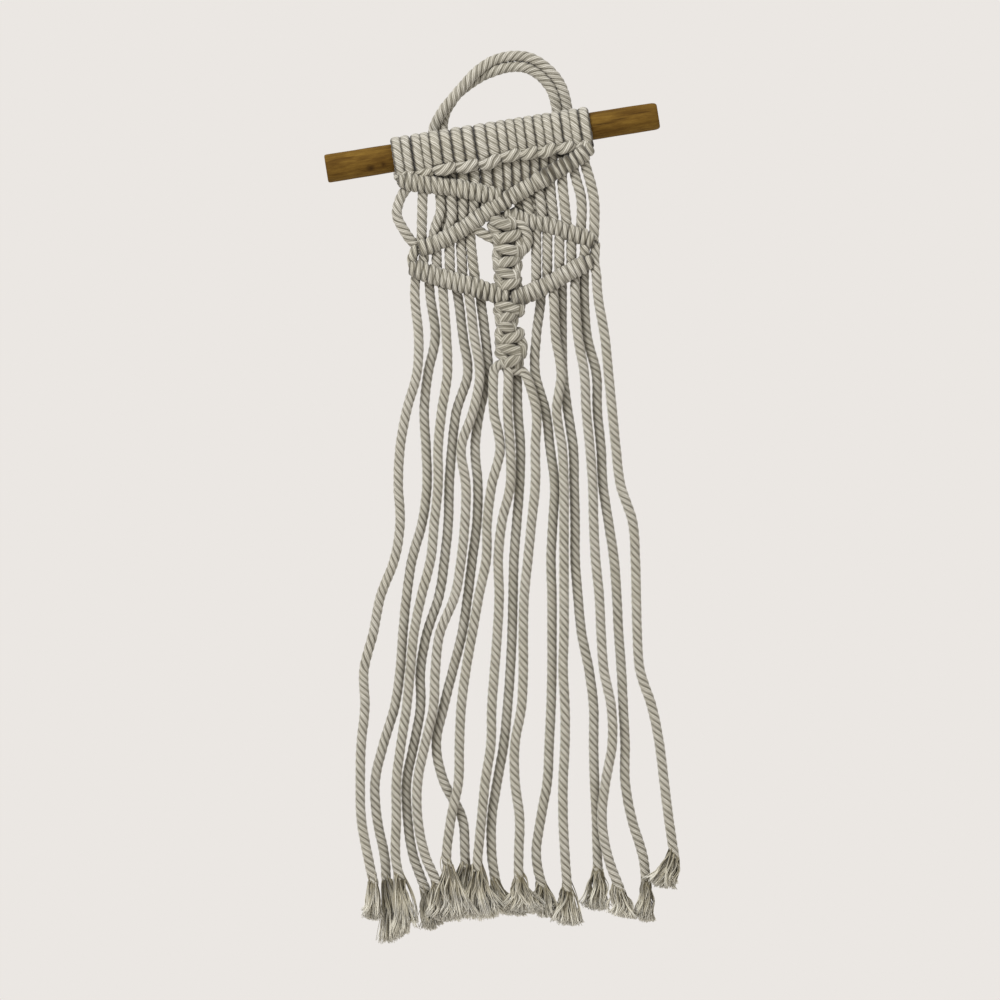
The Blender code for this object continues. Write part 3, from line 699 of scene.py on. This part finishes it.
def add_rope(skin, path, radius=CORD_RADIUS, lay=CORD_LAY, ply_shape=PLY, flat=None, press=1.0,
             wide=None, shade=EDGE_SHADE):
    """Plies laid round a path. flat holds directions in which the cord is pressed thinner, and wide
    the direction and the share by which it spreads."""
    ahead, side, other = frames(path)
    along = travelled(path)
    start = rng.uniform(0, 2 * math.pi)
    tone = rng.normal(0, 1)
    lean = rng.normal(0, WANDER, int(along[-1] / WANDER_STEP) + 3)
    wander = np.interp(along, np.arange(len(lean)) * WANDER_STEP, lean)
    for ply in range(PLIES):
        angle = (start + 2 * math.pi * ply / PLIES - 2 * math.pi * along / lay + wander)[:, None]
        swell = 1 + PLY_SWELL * np.sin(along / PLY_SWELL_STEP + ply * PLY_SWELL_SHIFT + start)
        thick = (radius * ply_shape[1] * swell)[:, None, None]
        rings = ply_rings(path, side, other, angle, radius * ply_shape[0], thick)
        reach = rings - path[:, None]
        # Painted shade: the nearer a point lies to the path, the darker it is painted.
        shade_depth = np.linalg.norm(reach, axis=2) / radius
        if flat is not None:
            sideways = unit(np.cross(ahead, flat))
            edge = np.abs(np.sum(reach * sideways[:, None], axis=2)) / radius
            # Painted shade at the sides of a pressed cord, where it meets its neighbours.
            shade_depth = shade_depth - shade * np.clip((edge - EDGE_START) / EDGE_REACH, 0, 1) ** EDGE_CURVE
            inward = (1 - press) * np.sum(reach * flat[:, None], axis=2, keepdims=True)
            rings = rings - inward * flat[:, None]
        if wide is not None:
            rings = rings + (wide[1] - 1) * np.sum(reach * wide[0], axis=2, keepdims=True) * wide[0]
        skin.tube(rings, along + ply * YARN_SHIFT, PLY_ANGLES / (2 * math.pi), shade_depth, tone)


def rod_radius(along):
    """The tapered rod's radius at a distance from its left end."""
    return ROD_LEFT_RADIUS + (ROD_RIGHT_RADIUS - ROD_LEFT_RADIUS) * along / ROD_LENGTH


def rod_place(along, out, up):
    """A point beside the rod's axis: along it from its left end, out to the front, and up from it."""
    return ROD_LEFT + ROD_AXIS * along + FRONT * out + ROD_RISE * up


def outward(path):
    """Directions away from the rod's axis at points near it."""
    reach = path - ROD_LEFT
    return unit(reach - (reach @ ROD_AXIS)[:, None] * ROD_AXIS)


def bar_height(x):
    """Where a cord that drops from the rod at x meets a bar."""
    line = LEFT_BAR.line if x < LEFT_BAR.line[-1][0] else LONG_BAR.line[::-1]
    return float(np.interp(x, *zip(*line)))


def turn_path(along, low, drops):
    """A cord's turn round the rod, from its front over the top to below it. One that drops starts at
    the bar under it."""
    height = rod_radius(along) + TURN_HEIGHT
    points = []
    if drops:
        knee = rod_place(along, KNEE_OUT, -low - KNEE_DROP)
        foot_x = min(knee[0] + FOOT_ASIDE, LAST_FOOT)
        points.append(np.array([foot_x, PANEL_Y, min(bar_height(foot_x), knee[2] - FOOT_DROP)]))
        knee[0] = min(knee[0], LAST_KNEE)
        points.append(knee)
    points.append(rod_place(along, height - FRONT_IN, -low * FRONT_SHARE))
    for degrees in TURN_DEGREES:
        angle = math.radians(degrees)
        points.append(rod_place(along, height * math.cos(angle), height * math.sin(angle)))
    points += [rod_place(along, out, -height - down) for out, down in TURN_TAIL]
    return smooth(points, TURN_STEP)


def bump_path(knot):
    """The cord that crosses the front of a lark's head, in at its left and out at its right."""
    quarter = (knot.right - knot.left) / 4
    up_left, up_right = BUMP_MIDDLE
    points = [rod_place(knot.left + past, knot.out + out, -knot.low + up) for past, out, up in BUMP_LEFT]
    points.append(rod_place(knot.left + quarter, knot.out, -knot.low + up_left))
    points.append(rod_place(knot.right - quarter, knot.out, -knot.low + up_right + knot.rise))
    for past, out, up in BUMP_RIGHT:
        along = min(knot.right + past, LAST_BUMP)
        points.append(rod_place(along, knot.out + out, -knot.low + up + knot.rise))
    return smooth(points, TURN_STEP)


def add_knot(skin, knot, drops):
    """A lark's head: two turns round the rod and the bump that crosses their front."""
    wide = knot.width * TURN_CLOSE / (2 * TURN_RADIUS)
    for along in (knot.left, knot.right):
        path = turn_path(along + rng.normal(0, TURN_SCATTER), knot.low, drops)
        add_rope(skin, path, TURN_RADIUS, ply_shape=HITCH_PLY, flat=outward(path), press=TURN_PRESS,
                 wide=(ROD_AXIS, wide))
    add_rope(skin, bump_path(knot), BUMP_RADIUS, BUMP_LAY, PRESSED_PLY)


def front_line(line, y):
    """A line of (x, z) pairs as points at depth y."""
    return [(x, y, z) for x, z in line]


def hitch_coil(core, thickness):
    """The path of the cord wound close round a bar's core, and the directions away from the core."""
    along = travelled(core)
    ahead = unit(np.gradient(core, axis=0))
    rise = unit(np.cross(FRONT, ahead))
    rise *= np.sign(rise[:, 2:])
    turns = int(along[-1] / HITCH_PITCH)
    angle = np.arange(0, turns * 2 * math.pi, HITCH_TURN_STEP)
    turn = angle / (2 * math.pi)
    uneven = np.interp(turn, np.arange(turns + 2), rng.normal(0, 1, turns + 2))
    place = np.clip((turn + HITCH_SCATTER * uneven) * along[-1] / turns, 0, along[-1])
    up = unit(between(place, along, rise))
    ends = np.sqrt(np.clip(np.minimum(turn, turns - turn) / BAR_END_TURNS, 0, 1))
    taper = BAR_END + (1 - BAR_END) * ends
    half = thickness / 2 - HITCH_RADIUS * HITCH_PRESS
    reach = (half * taper * (1 + HITCH_SWELL * uneven))[:, None]
    rising = np.cos(angle)[:, None] * up
    facing = np.sin(angle)[:, None] * FRONT
    path = spaced(between(place, along, core) + reach * (rising + facing * HITCH_DEPTH), HITCH_STEP)
    away = unit(rising + facing)
    share = np.linspace(0, 1, len(path))
    return path, unit(between(share, np.linspace(0, 1, len(away)), away))


def add_bar(skin, bar):
    """A bar of half hitches: cord wound close round the bar's line."""
    core = smooth(front_line(bar.line, PANEL_Y - bar.forward), BAR_STEP)
    path, flat = hitch_coil(core, bar.thickness)
    add_rope(skin, path, HITCH_RADIUS, HITCH_LAY, HITCH_PLY, flat, HITCH_PRESS, shade=HITCH_SHADE)
    add_rope(skin, core[::2], CORE_RADIUS)


def add_sinnet(skin, sinnet):
    """A column of square knots: two cords down its middle, and two that cross before and behind it."""
    knots = sinnet.knots
    at_top, in_knots, at_foot = SINNET_CORES
    for side in (-1.0, 1.0):
        line = [(knots[0].middle + side * at_top, PANEL_Y, sinnet.top)]
        line += [(knot.middle + side * in_knots, PANEL_Y, knot.height) for knot in knots]
        line.append((knots[-1].middle + side * at_foot, PANEL_Y, sinnet.bottom))
        add_rope(skin, smooth(line), SINNET_RADIUS)
    for crossing in (SINNET_FRONT, SINNET_BACK):
        route = [
            (knot.middle + knot.lead * knot.reach * across, PANEL_Y + y, knot.height + z)
            for knot in knots for across, y, z in crossing
        ]
        foot = route[-1][0] * SINNET_FOOT + knots[-1].middle * (1 - SINNET_FOOT)
        line = [(route[0][0], PANEL_Y, sinnet.top), *route, (foot, PANEL_Y, sinnet.bottom)]
        add_rope(skin, smooth(line, TURN_STEP), SINNET_RADIUS, SINNET_LAY, SINNET_PLY)


def fringe_path(strand):
    """The line of a fringe strand from its root, tucked behind a bar or knot, to where it frays."""
    y = PANEL_Y - strand.layer * FRINGE_LAYER
    from_bar = strand.first < 2
    tucked = PANEL_Y + STRAND_TUCK * BAR_TUCK if from_bar else PANEL_Y - strand.layer * KNOT_TUCK
    line = [(x, tucked + (y - tucked) * 0.5 * number, z) for number, (x, z) in enumerate(strand.root)]
    for index, x in enumerate(strand.places, start=strand.first):
        line.append((x, y, FRINGE_TOP - index * FRINGE_DROP))
    line.append((strand.end[0], y, strand.end[1]))
    return smooth(line)


class Yarn(NamedTuple):
    """A yarn of a tuft: where on the cord's middle line it parts from it, how far beside that line
    and in which direction, how far its tip lies beside and below the cord's end, and its bends."""

    root: np.ndarray
    ring: float
    beside: np.ndarray
    tip: np.ndarray
    drop: float
    bend: np.ndarray
    waves: float
    curl: float
    phase: float
    hook: float


def drawn_yarn(tuft, end, back):
    """A yarn of a tuft, drawn at random."""
    width = (tuft.right - tuft.left) * TUFT_SPREAD
    spin = rng.uniform(0, 2 * math.pi)
    ring = CORD_RADIUS * math.sqrt(rng.uniform(*TUFT_RING))
    lift = rng.uniform(0, 1)
    narrow = 1 - TUFT_NECK * lift
    x, y = math.cos(spin) * ring * narrow, math.sin(spin) * ring * narrow
    share = min(1, max(0, 0.5 + 0.5 * x / CORD_RADIUS + rng.normal(0, TIP_SHARE_SCATTER)))
    tip_x = (tuft.left + tuft.right) / 2 + width * (share - 0.5)
    tip_y = y * TUFT_DEPTH + rng.normal(0, TIP_DEPTH_SCATTER)
    drop = TUFT_EXTRA + tuft.drop_left + (tuft.drop_right - tuft.drop_left) * share
    drop *= 1 - abs(rng.normal(0, YARN_LENGTH_SCATTER)) - TUFT_ROUND * (2 * share - 1) ** 2
    return Yarn(
        root=end + back * lift * TUFT_ROOT,
        ring=ring,
        beside=np.array([x, y]),
        tip=np.array([tip_x, tip_y]),
        drop=drop,
        bend=rng.normal(0, YARN_BEND, 2),
        waves=rng.uniform(*YARN_WAVES),
        curl=rng.uniform(YARN_CURL[0], YARN_CURL[1] + width / CURL_WIDTH),
        phase=rng.uniform(0, YARN_PHASE),
        hook=rng.normal(0, YARN_HOOK[0]) + YARN_HOOK[1] * (share - 0.5),
    )


def fibre_path(yarn, end, t):
    """The line of one of a yarn's fibres, drawn at random, at shares t of its length."""
    loose = rng.normal(0, TIP_SCATTER, 2)
    near = rng.normal(0, ROOT_SCATTER, 2)
    length = 1 - abs(rng.normal(0, FIBRE_LENGTH_SCATTER))
    start = yarn.root + np.append(yarn.beside + near, 0)
    tip = end + np.append(yarn.tip + loose, -yarn.drop * length)
    path = start + (tip - start) * t[:, None]
    belly = np.sin(t * math.pi)
    fan = (t**FAN_CURVE - t) * (tip[0] - start[0])
    wave = t * yarn.waves + yarn.phase
    path[:, 0] += fan + yarn.bend[0] * belly + yarn.curl * np.sin(wave + near[0]) * np.sqrt(t)
    path[:, 0] += yarn.hook * np.clip(t - HOOK_START, 0, 1) ** 2 * HOOK_REACH
    path[:, 1] += yarn.bend[1] * belly + yarn.curl * DEPTH_CURL * np.cos(wave) * t
    return path


def add_tuft(skin, tuft, strand):
    """The frayed end: yarns that part from the cord, each a lock of fine waved fibres."""
    t = np.linspace(0, 1, FIBRE_PLACES)
    thick = (FIBRE_RADIUS - FIBRE_TAPER * t)[:, None, None]
    end = strand[-1]
    back = unit(strand[-6:-5] - end)[0]  # up the cord, over its last five steps
    at_root, outer, at_tip = FRAY_SHADE
    for _ in range(YARNS):
        yarn = drawn_yarn(tuft, end, back)
        for _ in range(FIBRES):
            path = fibre_path(yarn, end, t)
            _, side, other = frames(path)
            rings = rings_round(path, thick, FIBRE_SIDES, side, other)
            # Painted shade: darker at the root and for yarns near the cord's middle, paler towards the tip.
            shade = at_root + outer * yarn.ring / CORD_RADIUS + at_tip * t**FRAY_CURVE
            shade = np.clip(shade + rng.normal(0, FRAY_SCATTER), *FRAY_LIMITS)
            skin.tube(rings, travelled(path), FIBRE_SIDES / (2 * math.pi), shade[:, None], rng.normal(0, 1))


def new_material(name):
    """A material, its node tree and its shader."""
    material = bpy.data.materials.new(name)
    material.use_nodes = True
    tree = material.node_tree
    return material, tree, tree.nodes["Principled BSDF"]


def node(tree, kind, **values):
    """A node with its settings and constant inputs."""
    made = tree.nodes.new(kind)
    for key, value in values.items():
        if hasattr(made, key):
            setattr(made, key, value)
        else:
            made.inputs[key].default_value = value
    return made


def noise(tree, vector, **values):
    """How strong a noise is at a place."""
    made = node(tree, "ShaderNodeTexNoise", **values)
    tree.links.new(vector, made.inputs["Vector"])
    return made.outputs["Fac"]


def maths(tree, operation, *values):
    """A maths node on sockets or numbers."""
    made = node(tree, "ShaderNodeMath", operation=operation)
    for socket, value in zip(made.inputs, values):
        if isinstance(value, (int, float)):
            socket.default_value = value
        else:
            tree.links.new(value, socket)
    return made.outputs[0]


def ramp(tree, factor, stops):
    """A colour ramp through (place, colour) stops."""
    made = tree.nodes.new("ShaderNodeValToRGB")
    while len(made.color_ramp.elements) < len(stops):
        made.color_ramp.elements.new(0.5)
    for element, (place, colour) in zip(made.color_ramp.elements, stops):
        element.position = place
        element.color = (*colour, 1)
    tree.links.new(factor, made.inputs["Fac"])
    return made.outputs["Color"]


def fading(tint, shares):
    """Stops that go from a tint at the first share to white at the second."""
    return (shares[0], tint), (shares[1], WHITE)


def multiplied(tree, colours):
    """Several colours multiplied together."""
    product = colours[0]
    for colour in colours[1:]:
        made = node(tree, "ShaderNodeMix", data_type="RGBA", blend_type="MULTIPLY", Factor=1.0)
        tree.links.new(product, made.inputs["A"])
        tree.links.new(colour, made.inputs["B"])
        product = made.outputs["Result"]
    return product


def bumped(tree, shader, height, strength, distance):
    """Gives the shader's surface a fine relief."""
    bump = node(tree, "ShaderNodeBump", Strength=strength, Distance=distance)
    tree.links.new(height, bump.inputs["Height"])
    tree.links.new(bump.outputs["Normal"], shader.inputs["Normal"])


def yarn_phase(tree, place):
    """The phase of the yarns round a ply, which lean along it, and how far along it a point is."""
    split = tree.nodes.new("ShaderNodeSeparateXYZ")
    tree.links.new(node(tree, "ShaderNodeUVMap", uv_map="cord").outputs["UV"], split.inputs[0])
    around, along = split.outputs["X"], split.outputs["Y"]
    wobble = noise(tree, place, Scale=260.0, Detail=2.0)
    phase = maths(tree, "ADD", maths(tree, "MULTIPLY", around, PLY_YARNS * 2 * math.pi),
                  maths(tree, "MULTIPLY", along, YARN_LEAN))
    return maths(tree, "ADD", phase, maths(tree, "MULTIPLY", wobble, YARN_WOBBLE)), along


def streak_tints(tree, phase, along, tint):
    """Streaks that run along the yarns."""
    across = tree.nodes.new("ShaderNodeCombineXYZ")
    tree.links.new(phase, across.inputs[0])
    tree.links.new(maths(tree, "MULTIPLY", along, STREAK_STRETCH), across.inputs[1])
    streak = noise(tree, across.outputs["Vector"], Scale=1.1, Detail=3.0, Roughness=0.6)
    return ramp(tree, streak, fading(tint, STREAK_SHARES))


def tone_tints(tree):
    """A slight tint of each cord's own."""
    tone = node(tree, "ShaderNodeAttribute", attribute_name="tone").outputs["Fac"]
    return ramp(tree, maths(tree, "MULTIPLY_ADD", tone, TONE_REACH, 0.5), TONE_STOPS)


def hollow_shade(tree, stops):
    """Painted brown shade where cords or fibres lie close together."""
    hollow = node(tree, "ShaderNodeAmbientOcclusion", samples=HOLLOW_SAMPLES, Distance=HOLLOW_REACH_M)
    return ramp(tree, hollow.outputs["AO"], stops)


def cotton_material(name, stops, yarn_shade, streak_tint, hollow_shade_stops):
    """Undyed cotton: yarns along each ply with painted shade between them, painted brown shade between
    plies and in hollows, and slight blotches.
    """
    material, tree, shader = new_material(name)
    place = tree.nodes.new("ShaderNodeTexCoord").outputs["Object"]
    phase, along = yarn_phase(tree, place)
    yarn = maths(tree, "MULTIPLY_ADD", maths(tree, "SINE", phase), 0.5, 0.5)
    # Painted shade: darker where a point lies deeper, between plies, at the sides of pressed cords and at
    # the roots of frayed ends.
    shade_depth = node(tree, "ShaderNodeAttribute", attribute_name="shade_depth").outputs["Fac"]
    colour = multiplied(tree, (
        ramp(tree, shade_depth, stops),
        # painted shade in the grooves between yarns
        ramp(tree, yarn, fading(yarn_shade, YARN_SHARES)),
        streak_tints(tree, phase, along, streak_tint),
        ramp(tree, noise(tree, place, Scale=42.0, Detail=3.0), PATCH_STOPS),
        tone_tints(tree),
        # painted shade in hollows
        hollow_shade(tree, hollow_shade_stops),
    ))
    tree.links.new(colour, shader.inputs["Base Color"])
    fuzz = noise(tree, place, Scale=1900.0, Detail=3.0, Roughness=0.65)
    height = maths(tree, "ADD", yarn, maths(tree, "MULTIPLY", fuzz, FUZZ_HEIGHT))
    bumped(tree, shader, height, strength=0.55, distance=0.00025)
    shader.inputs["Roughness"].default_value = 0.95
    shader.inputs["Specular IOR Level"].default_value = 0.15
    shader.inputs["Sheen Weight"].default_value = 0.25
    shader.inputs["Sheen Roughness"].default_value = 0.6
    return material


def wood_mark(tree, place, centre, size, tint):
    """A dark mark on the wood, with its centre and its size along the rod, up and out."""
    wobble = noise(tree, place, Scale=350.0, Detail=2.0)
    moved = node(tree, "ShaderNodeMapping", vector_type="TEXTURE")
    moved.inputs["Location"].default_value = [value * MM for value in centre]
    moved.inputs["Scale"].default_value = [value * MM for value in size]
    tree.links.new(place, moved.inputs["Vector"])
    reach = node(tree, "ShaderNodeVectorMath", operation="LENGTH")
    tree.links.new(moved.outputs["Vector"], reach.inputs[0])
    uneven = maths(tree, "ADD", reach.outputs["Value"], wobble)
    return ramp(tree, maths(tree, "MULTIPLY", uneven, 0.5), fading(tint, MARK_FADE))


def wood_material():
    """Brown stained wood: grain along the rod, knots and a fine crack."""
    material, tree, shader = new_material("dowel_wood")
    place = tree.nodes.new("ShaderNodeTexCoord").outputs["Object"]
    stretch = tree.nodes.new("ShaderNodeMapping")
    stretch.inputs["Scale"].default_value = GRAIN_STRETCH
    tree.links.new(place, stretch.inputs["Vector"])
    along = stretch.outputs["Vector"]
    grain = noise(tree, along, Scale=900.0, Detail=5.0, Roughness=0.7, Distortion=0.4)
    bands = noise(tree, along, Scale=220.0, Detail=3.0)
    colours = [ramp(tree, grain, GRAIN_STOPS), ramp(tree, bands, BAND_STOPS)]
    colours += [wood_mark(tree, place, *mark) for mark in WOOD_MARKS]
    tree.links.new(multiplied(tree, colours), shader.inputs["Base Color"])
    bumped(tree, shader, grain, strength=0.35, distance=0.0003)
    shader.inputs["Roughness"].default_value = 0.8
    shader.inputs["Specular IOR Level"].default_value = 0.1
    return material


def rod_points():
    """Rings of points on the rod, in metres along it, up and out to the front."""
    places = list(SAWN_END)
    places += [(at, 1.0) for at in np.linspace(ROD_END, ROD_LENGTH - ROD_END, ROD_RINGS)]
    places += [(ROD_LENGTH - at, share) for at, share in reversed(WORN_END)]
    angles = np.linspace(0, 2 * math.pi, ROD_SIDES, endpoint=False)
    points = []
    for at, share in places:
        ripple = sum((size * np.sin(count * angles + at * turn) for size, count, turn in ROD_RIPPLES), 1)
        swell = sum((size * math.sin(at * turn) for size, turn in ROD_SWELLS), 1)
        radius = (rod_radius(at) + ROD_BEDDED) * share * ripple * swell
        points += [(at, r * math.cos(angle), r * math.sin(angle)) for angle, r in zip(angles, radius)]
    return [[value * MM for value in point] for point in points]


def rod_mesh():
    """The rod as a closed mesh in metres, in its own frame."""
    points = rod_points()
    faces = [tuple(range(ROD_SIDES))[::-1]]
    for first in range(0, len(points) - ROD_SIDES, ROD_SIDES):
        for side in range(ROD_SIDES):
            here, other = first + side, first + (side + 1) % ROD_SIDES
            faces.append((here, other, other + ROD_SIDES, here + ROD_SIDES))
    faces.append(tuple(range(len(points) - ROD_SIDES, len(points))))
    mesh = bpy.data.meshes.new("rod")
    mesh.from_pydata(points, [], faces)
    mesh.shade_smooth()
    mesh.set_sharp_from_angle(angle=math.radians(ROD_SHARP_DEGREES))
    return mesh


def make_rod(material):
    """A branch cut to length and stripped: nearly round, with softened ends."""
    mesh = rod_mesh()
    mesh.materials.append(material)
    rod = bpy.data.objects.new("rod", mesh)
    bpy.context.scene.collection.objects.link(rod)
    axis, rise = Vector(ROD_AXIS), Vector(ROD_RISE)
    turned = Matrix((axis, rise, axis.cross(rise))).transposed().to_4x4()
    rod.matrix_world = Matrix.Translation(Vector(rod_place(0, 0, 0)) * MM) @ turned
    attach(rod, "root")
    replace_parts(rod, "dowel")


def make_loop(material):
    """The doubled hanging cord and its two knots on the rod."""
    skin = Skin()
    for route in HANGER_ROUTES:
        add_rope(skin, smooth(route) + np.array([0, 0, LOOP_RISE]), LOOP_RADIUS, ply_shape=LOOP_PLY)
    for knot in HANGER_KNOTS:
        add_knot(skin, knot, drops=False)
    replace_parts(skin.piece("hanging_loop", material, "cotton_cord"), "hanging_cord")


def make_rod_knots(material):
    """The knotting cords' lark's heads on the rod."""
    skin = Skin()
    for knot in KNOTS:
        add_knot(skin, knot, drops=True)
    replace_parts(skin.piece("rod_knots", material, "cotton_cord"), "macrame")


def make_bars(material):
    """The five bars of half hitches."""
    skin = Skin()
    for bar in BARS:
        add_bar(skin, bar)
    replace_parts(skin.piece("hitched_bars", material, "cotton_cord"), "macrame")


def make_inner_strands(material):
    """The cords between the bars, whose ends tuck in behind them."""
    skin = Skin()
    for strand in STRANDS:
        path = smooth(front_line(strand.line, PANEL_Y - strand.forward))
        share = np.linspace(0, 1, len(path))
        path[:, 1] += STRAND_TUCK * (1 - np.sin(math.pi * share) ** TUCK_CURVE)
        add_rope(skin, path, INNER_RADIUS)
    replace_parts(skin.piece("inner_strands", material, "cotton_cord"), "macrame")


def make_square_knots(material):
    """The two columns of square knots."""
    skin = Skin()
    for sinnet in SINNETS:
        add_sinnet(skin, sinnet)
    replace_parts(skin.piece("square_knots", material, "cotton_cord"), "macrame")


def make_fringe(material, fray):
    """Each strand of the fringe as a piece of its own, with its frayed end."""
    tufts = {tuft.strand: tuft for tuft in TUFTS}
    for strand in FRINGE:
        skin = Skin()
        path = fringe_path(strand)
        add_rope(skin, path)
        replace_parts(skin.piece("fringe_" + strand.name, material, "cotton_cord"), "macrame")
        skin = Skin()
        add_tuft(skin, tufts[strand.name], path)
        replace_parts(skin.piece("frayed_" + strand.name, fray, "cotton_cord"), "macrame")


def make_floor():
    """A pale floor well below."""
    bpy.ops.mesh.primitive_plane_add(size=FLOOR_SIZE_M, location=(0, 0, FLOOR_Z_M))
    floor = bpy.context.object
    floor.name = "floor"
    pale, _, shader = new_material("pale_floor")
    shader.inputs["Base Color"].default_value = FLOOR_COLOUR
    shader.inputs["Roughness"].default_value = 0.9
    floor.data.materials.append(pale)


def make_light():
    """A pale surround and soft studio light."""
    world = bpy.data.worlds.new("surround")
    bpy.context.scene.world = world
    world.use_nodes = True
    world.node_tree.nodes["Background"].inputs["Color"].default_value = SURROUND_COLOUR
    for name, place, size, power in LIGHTS:
        light = bpy.data.lights.new(name, "AREA")
        light.size = size
        light.energy = power
        lamp = bpy.data.objects.new(name, light)
        bpy.context.scene.collection.objects.link(lamp)
        lamp.location = place
        aim = Vector(LIGHT_AIM_M) - Vector(place)
        lamp.rotation_euler = aim.to_track_quat("-Z", "Y").to_euler()


def make_camera():
    """Straight on, from far off with a long lens."""
    lens = bpy.data.cameras.new("camera")
    lens.sensor_width = SENSOR_MM
    lens.lens = LENS_MM
    camera = bpy.data.objects.new("camera", lens)
    bpy.context.scene.collection.objects.link(camera)
    x, z = VIEW_MIDDLE
    camera.location = (x * MM, PANEL_Y * MM - CAMERA_AWAY_M, z * MM)
    camera.rotation_euler = (math.radians(90), 0, 0)
    bpy.context.scene.camera = camera


make_camera()
make_floor()
make_light()
bpy.context.scene.view_settings.view_transform = "Standard"
cotton = cotton_material("cotton_cord", CORD_SHADE_STOPS, CORD_YARN_SHADE, CORD_STREAK_TINT, CORD_HOLLOW_SHADE)
fray = cotton_material("frayed_cotton", FRAY_SHADE_STOPS, FRAY_YARN_SHADE_AND_STREAK_TINT, FRAY_YARN_SHADE_AND_STREAK_TINT, FRAY_HOLLOW_SHADE)
make_rod(wood_material())
make_loop(cotton)
make_rod_knots(cotton)
make_bars(cotton)
make_inner_strands(cotton)
make_square_knots(cotton)
make_fringe(cotton, fray)
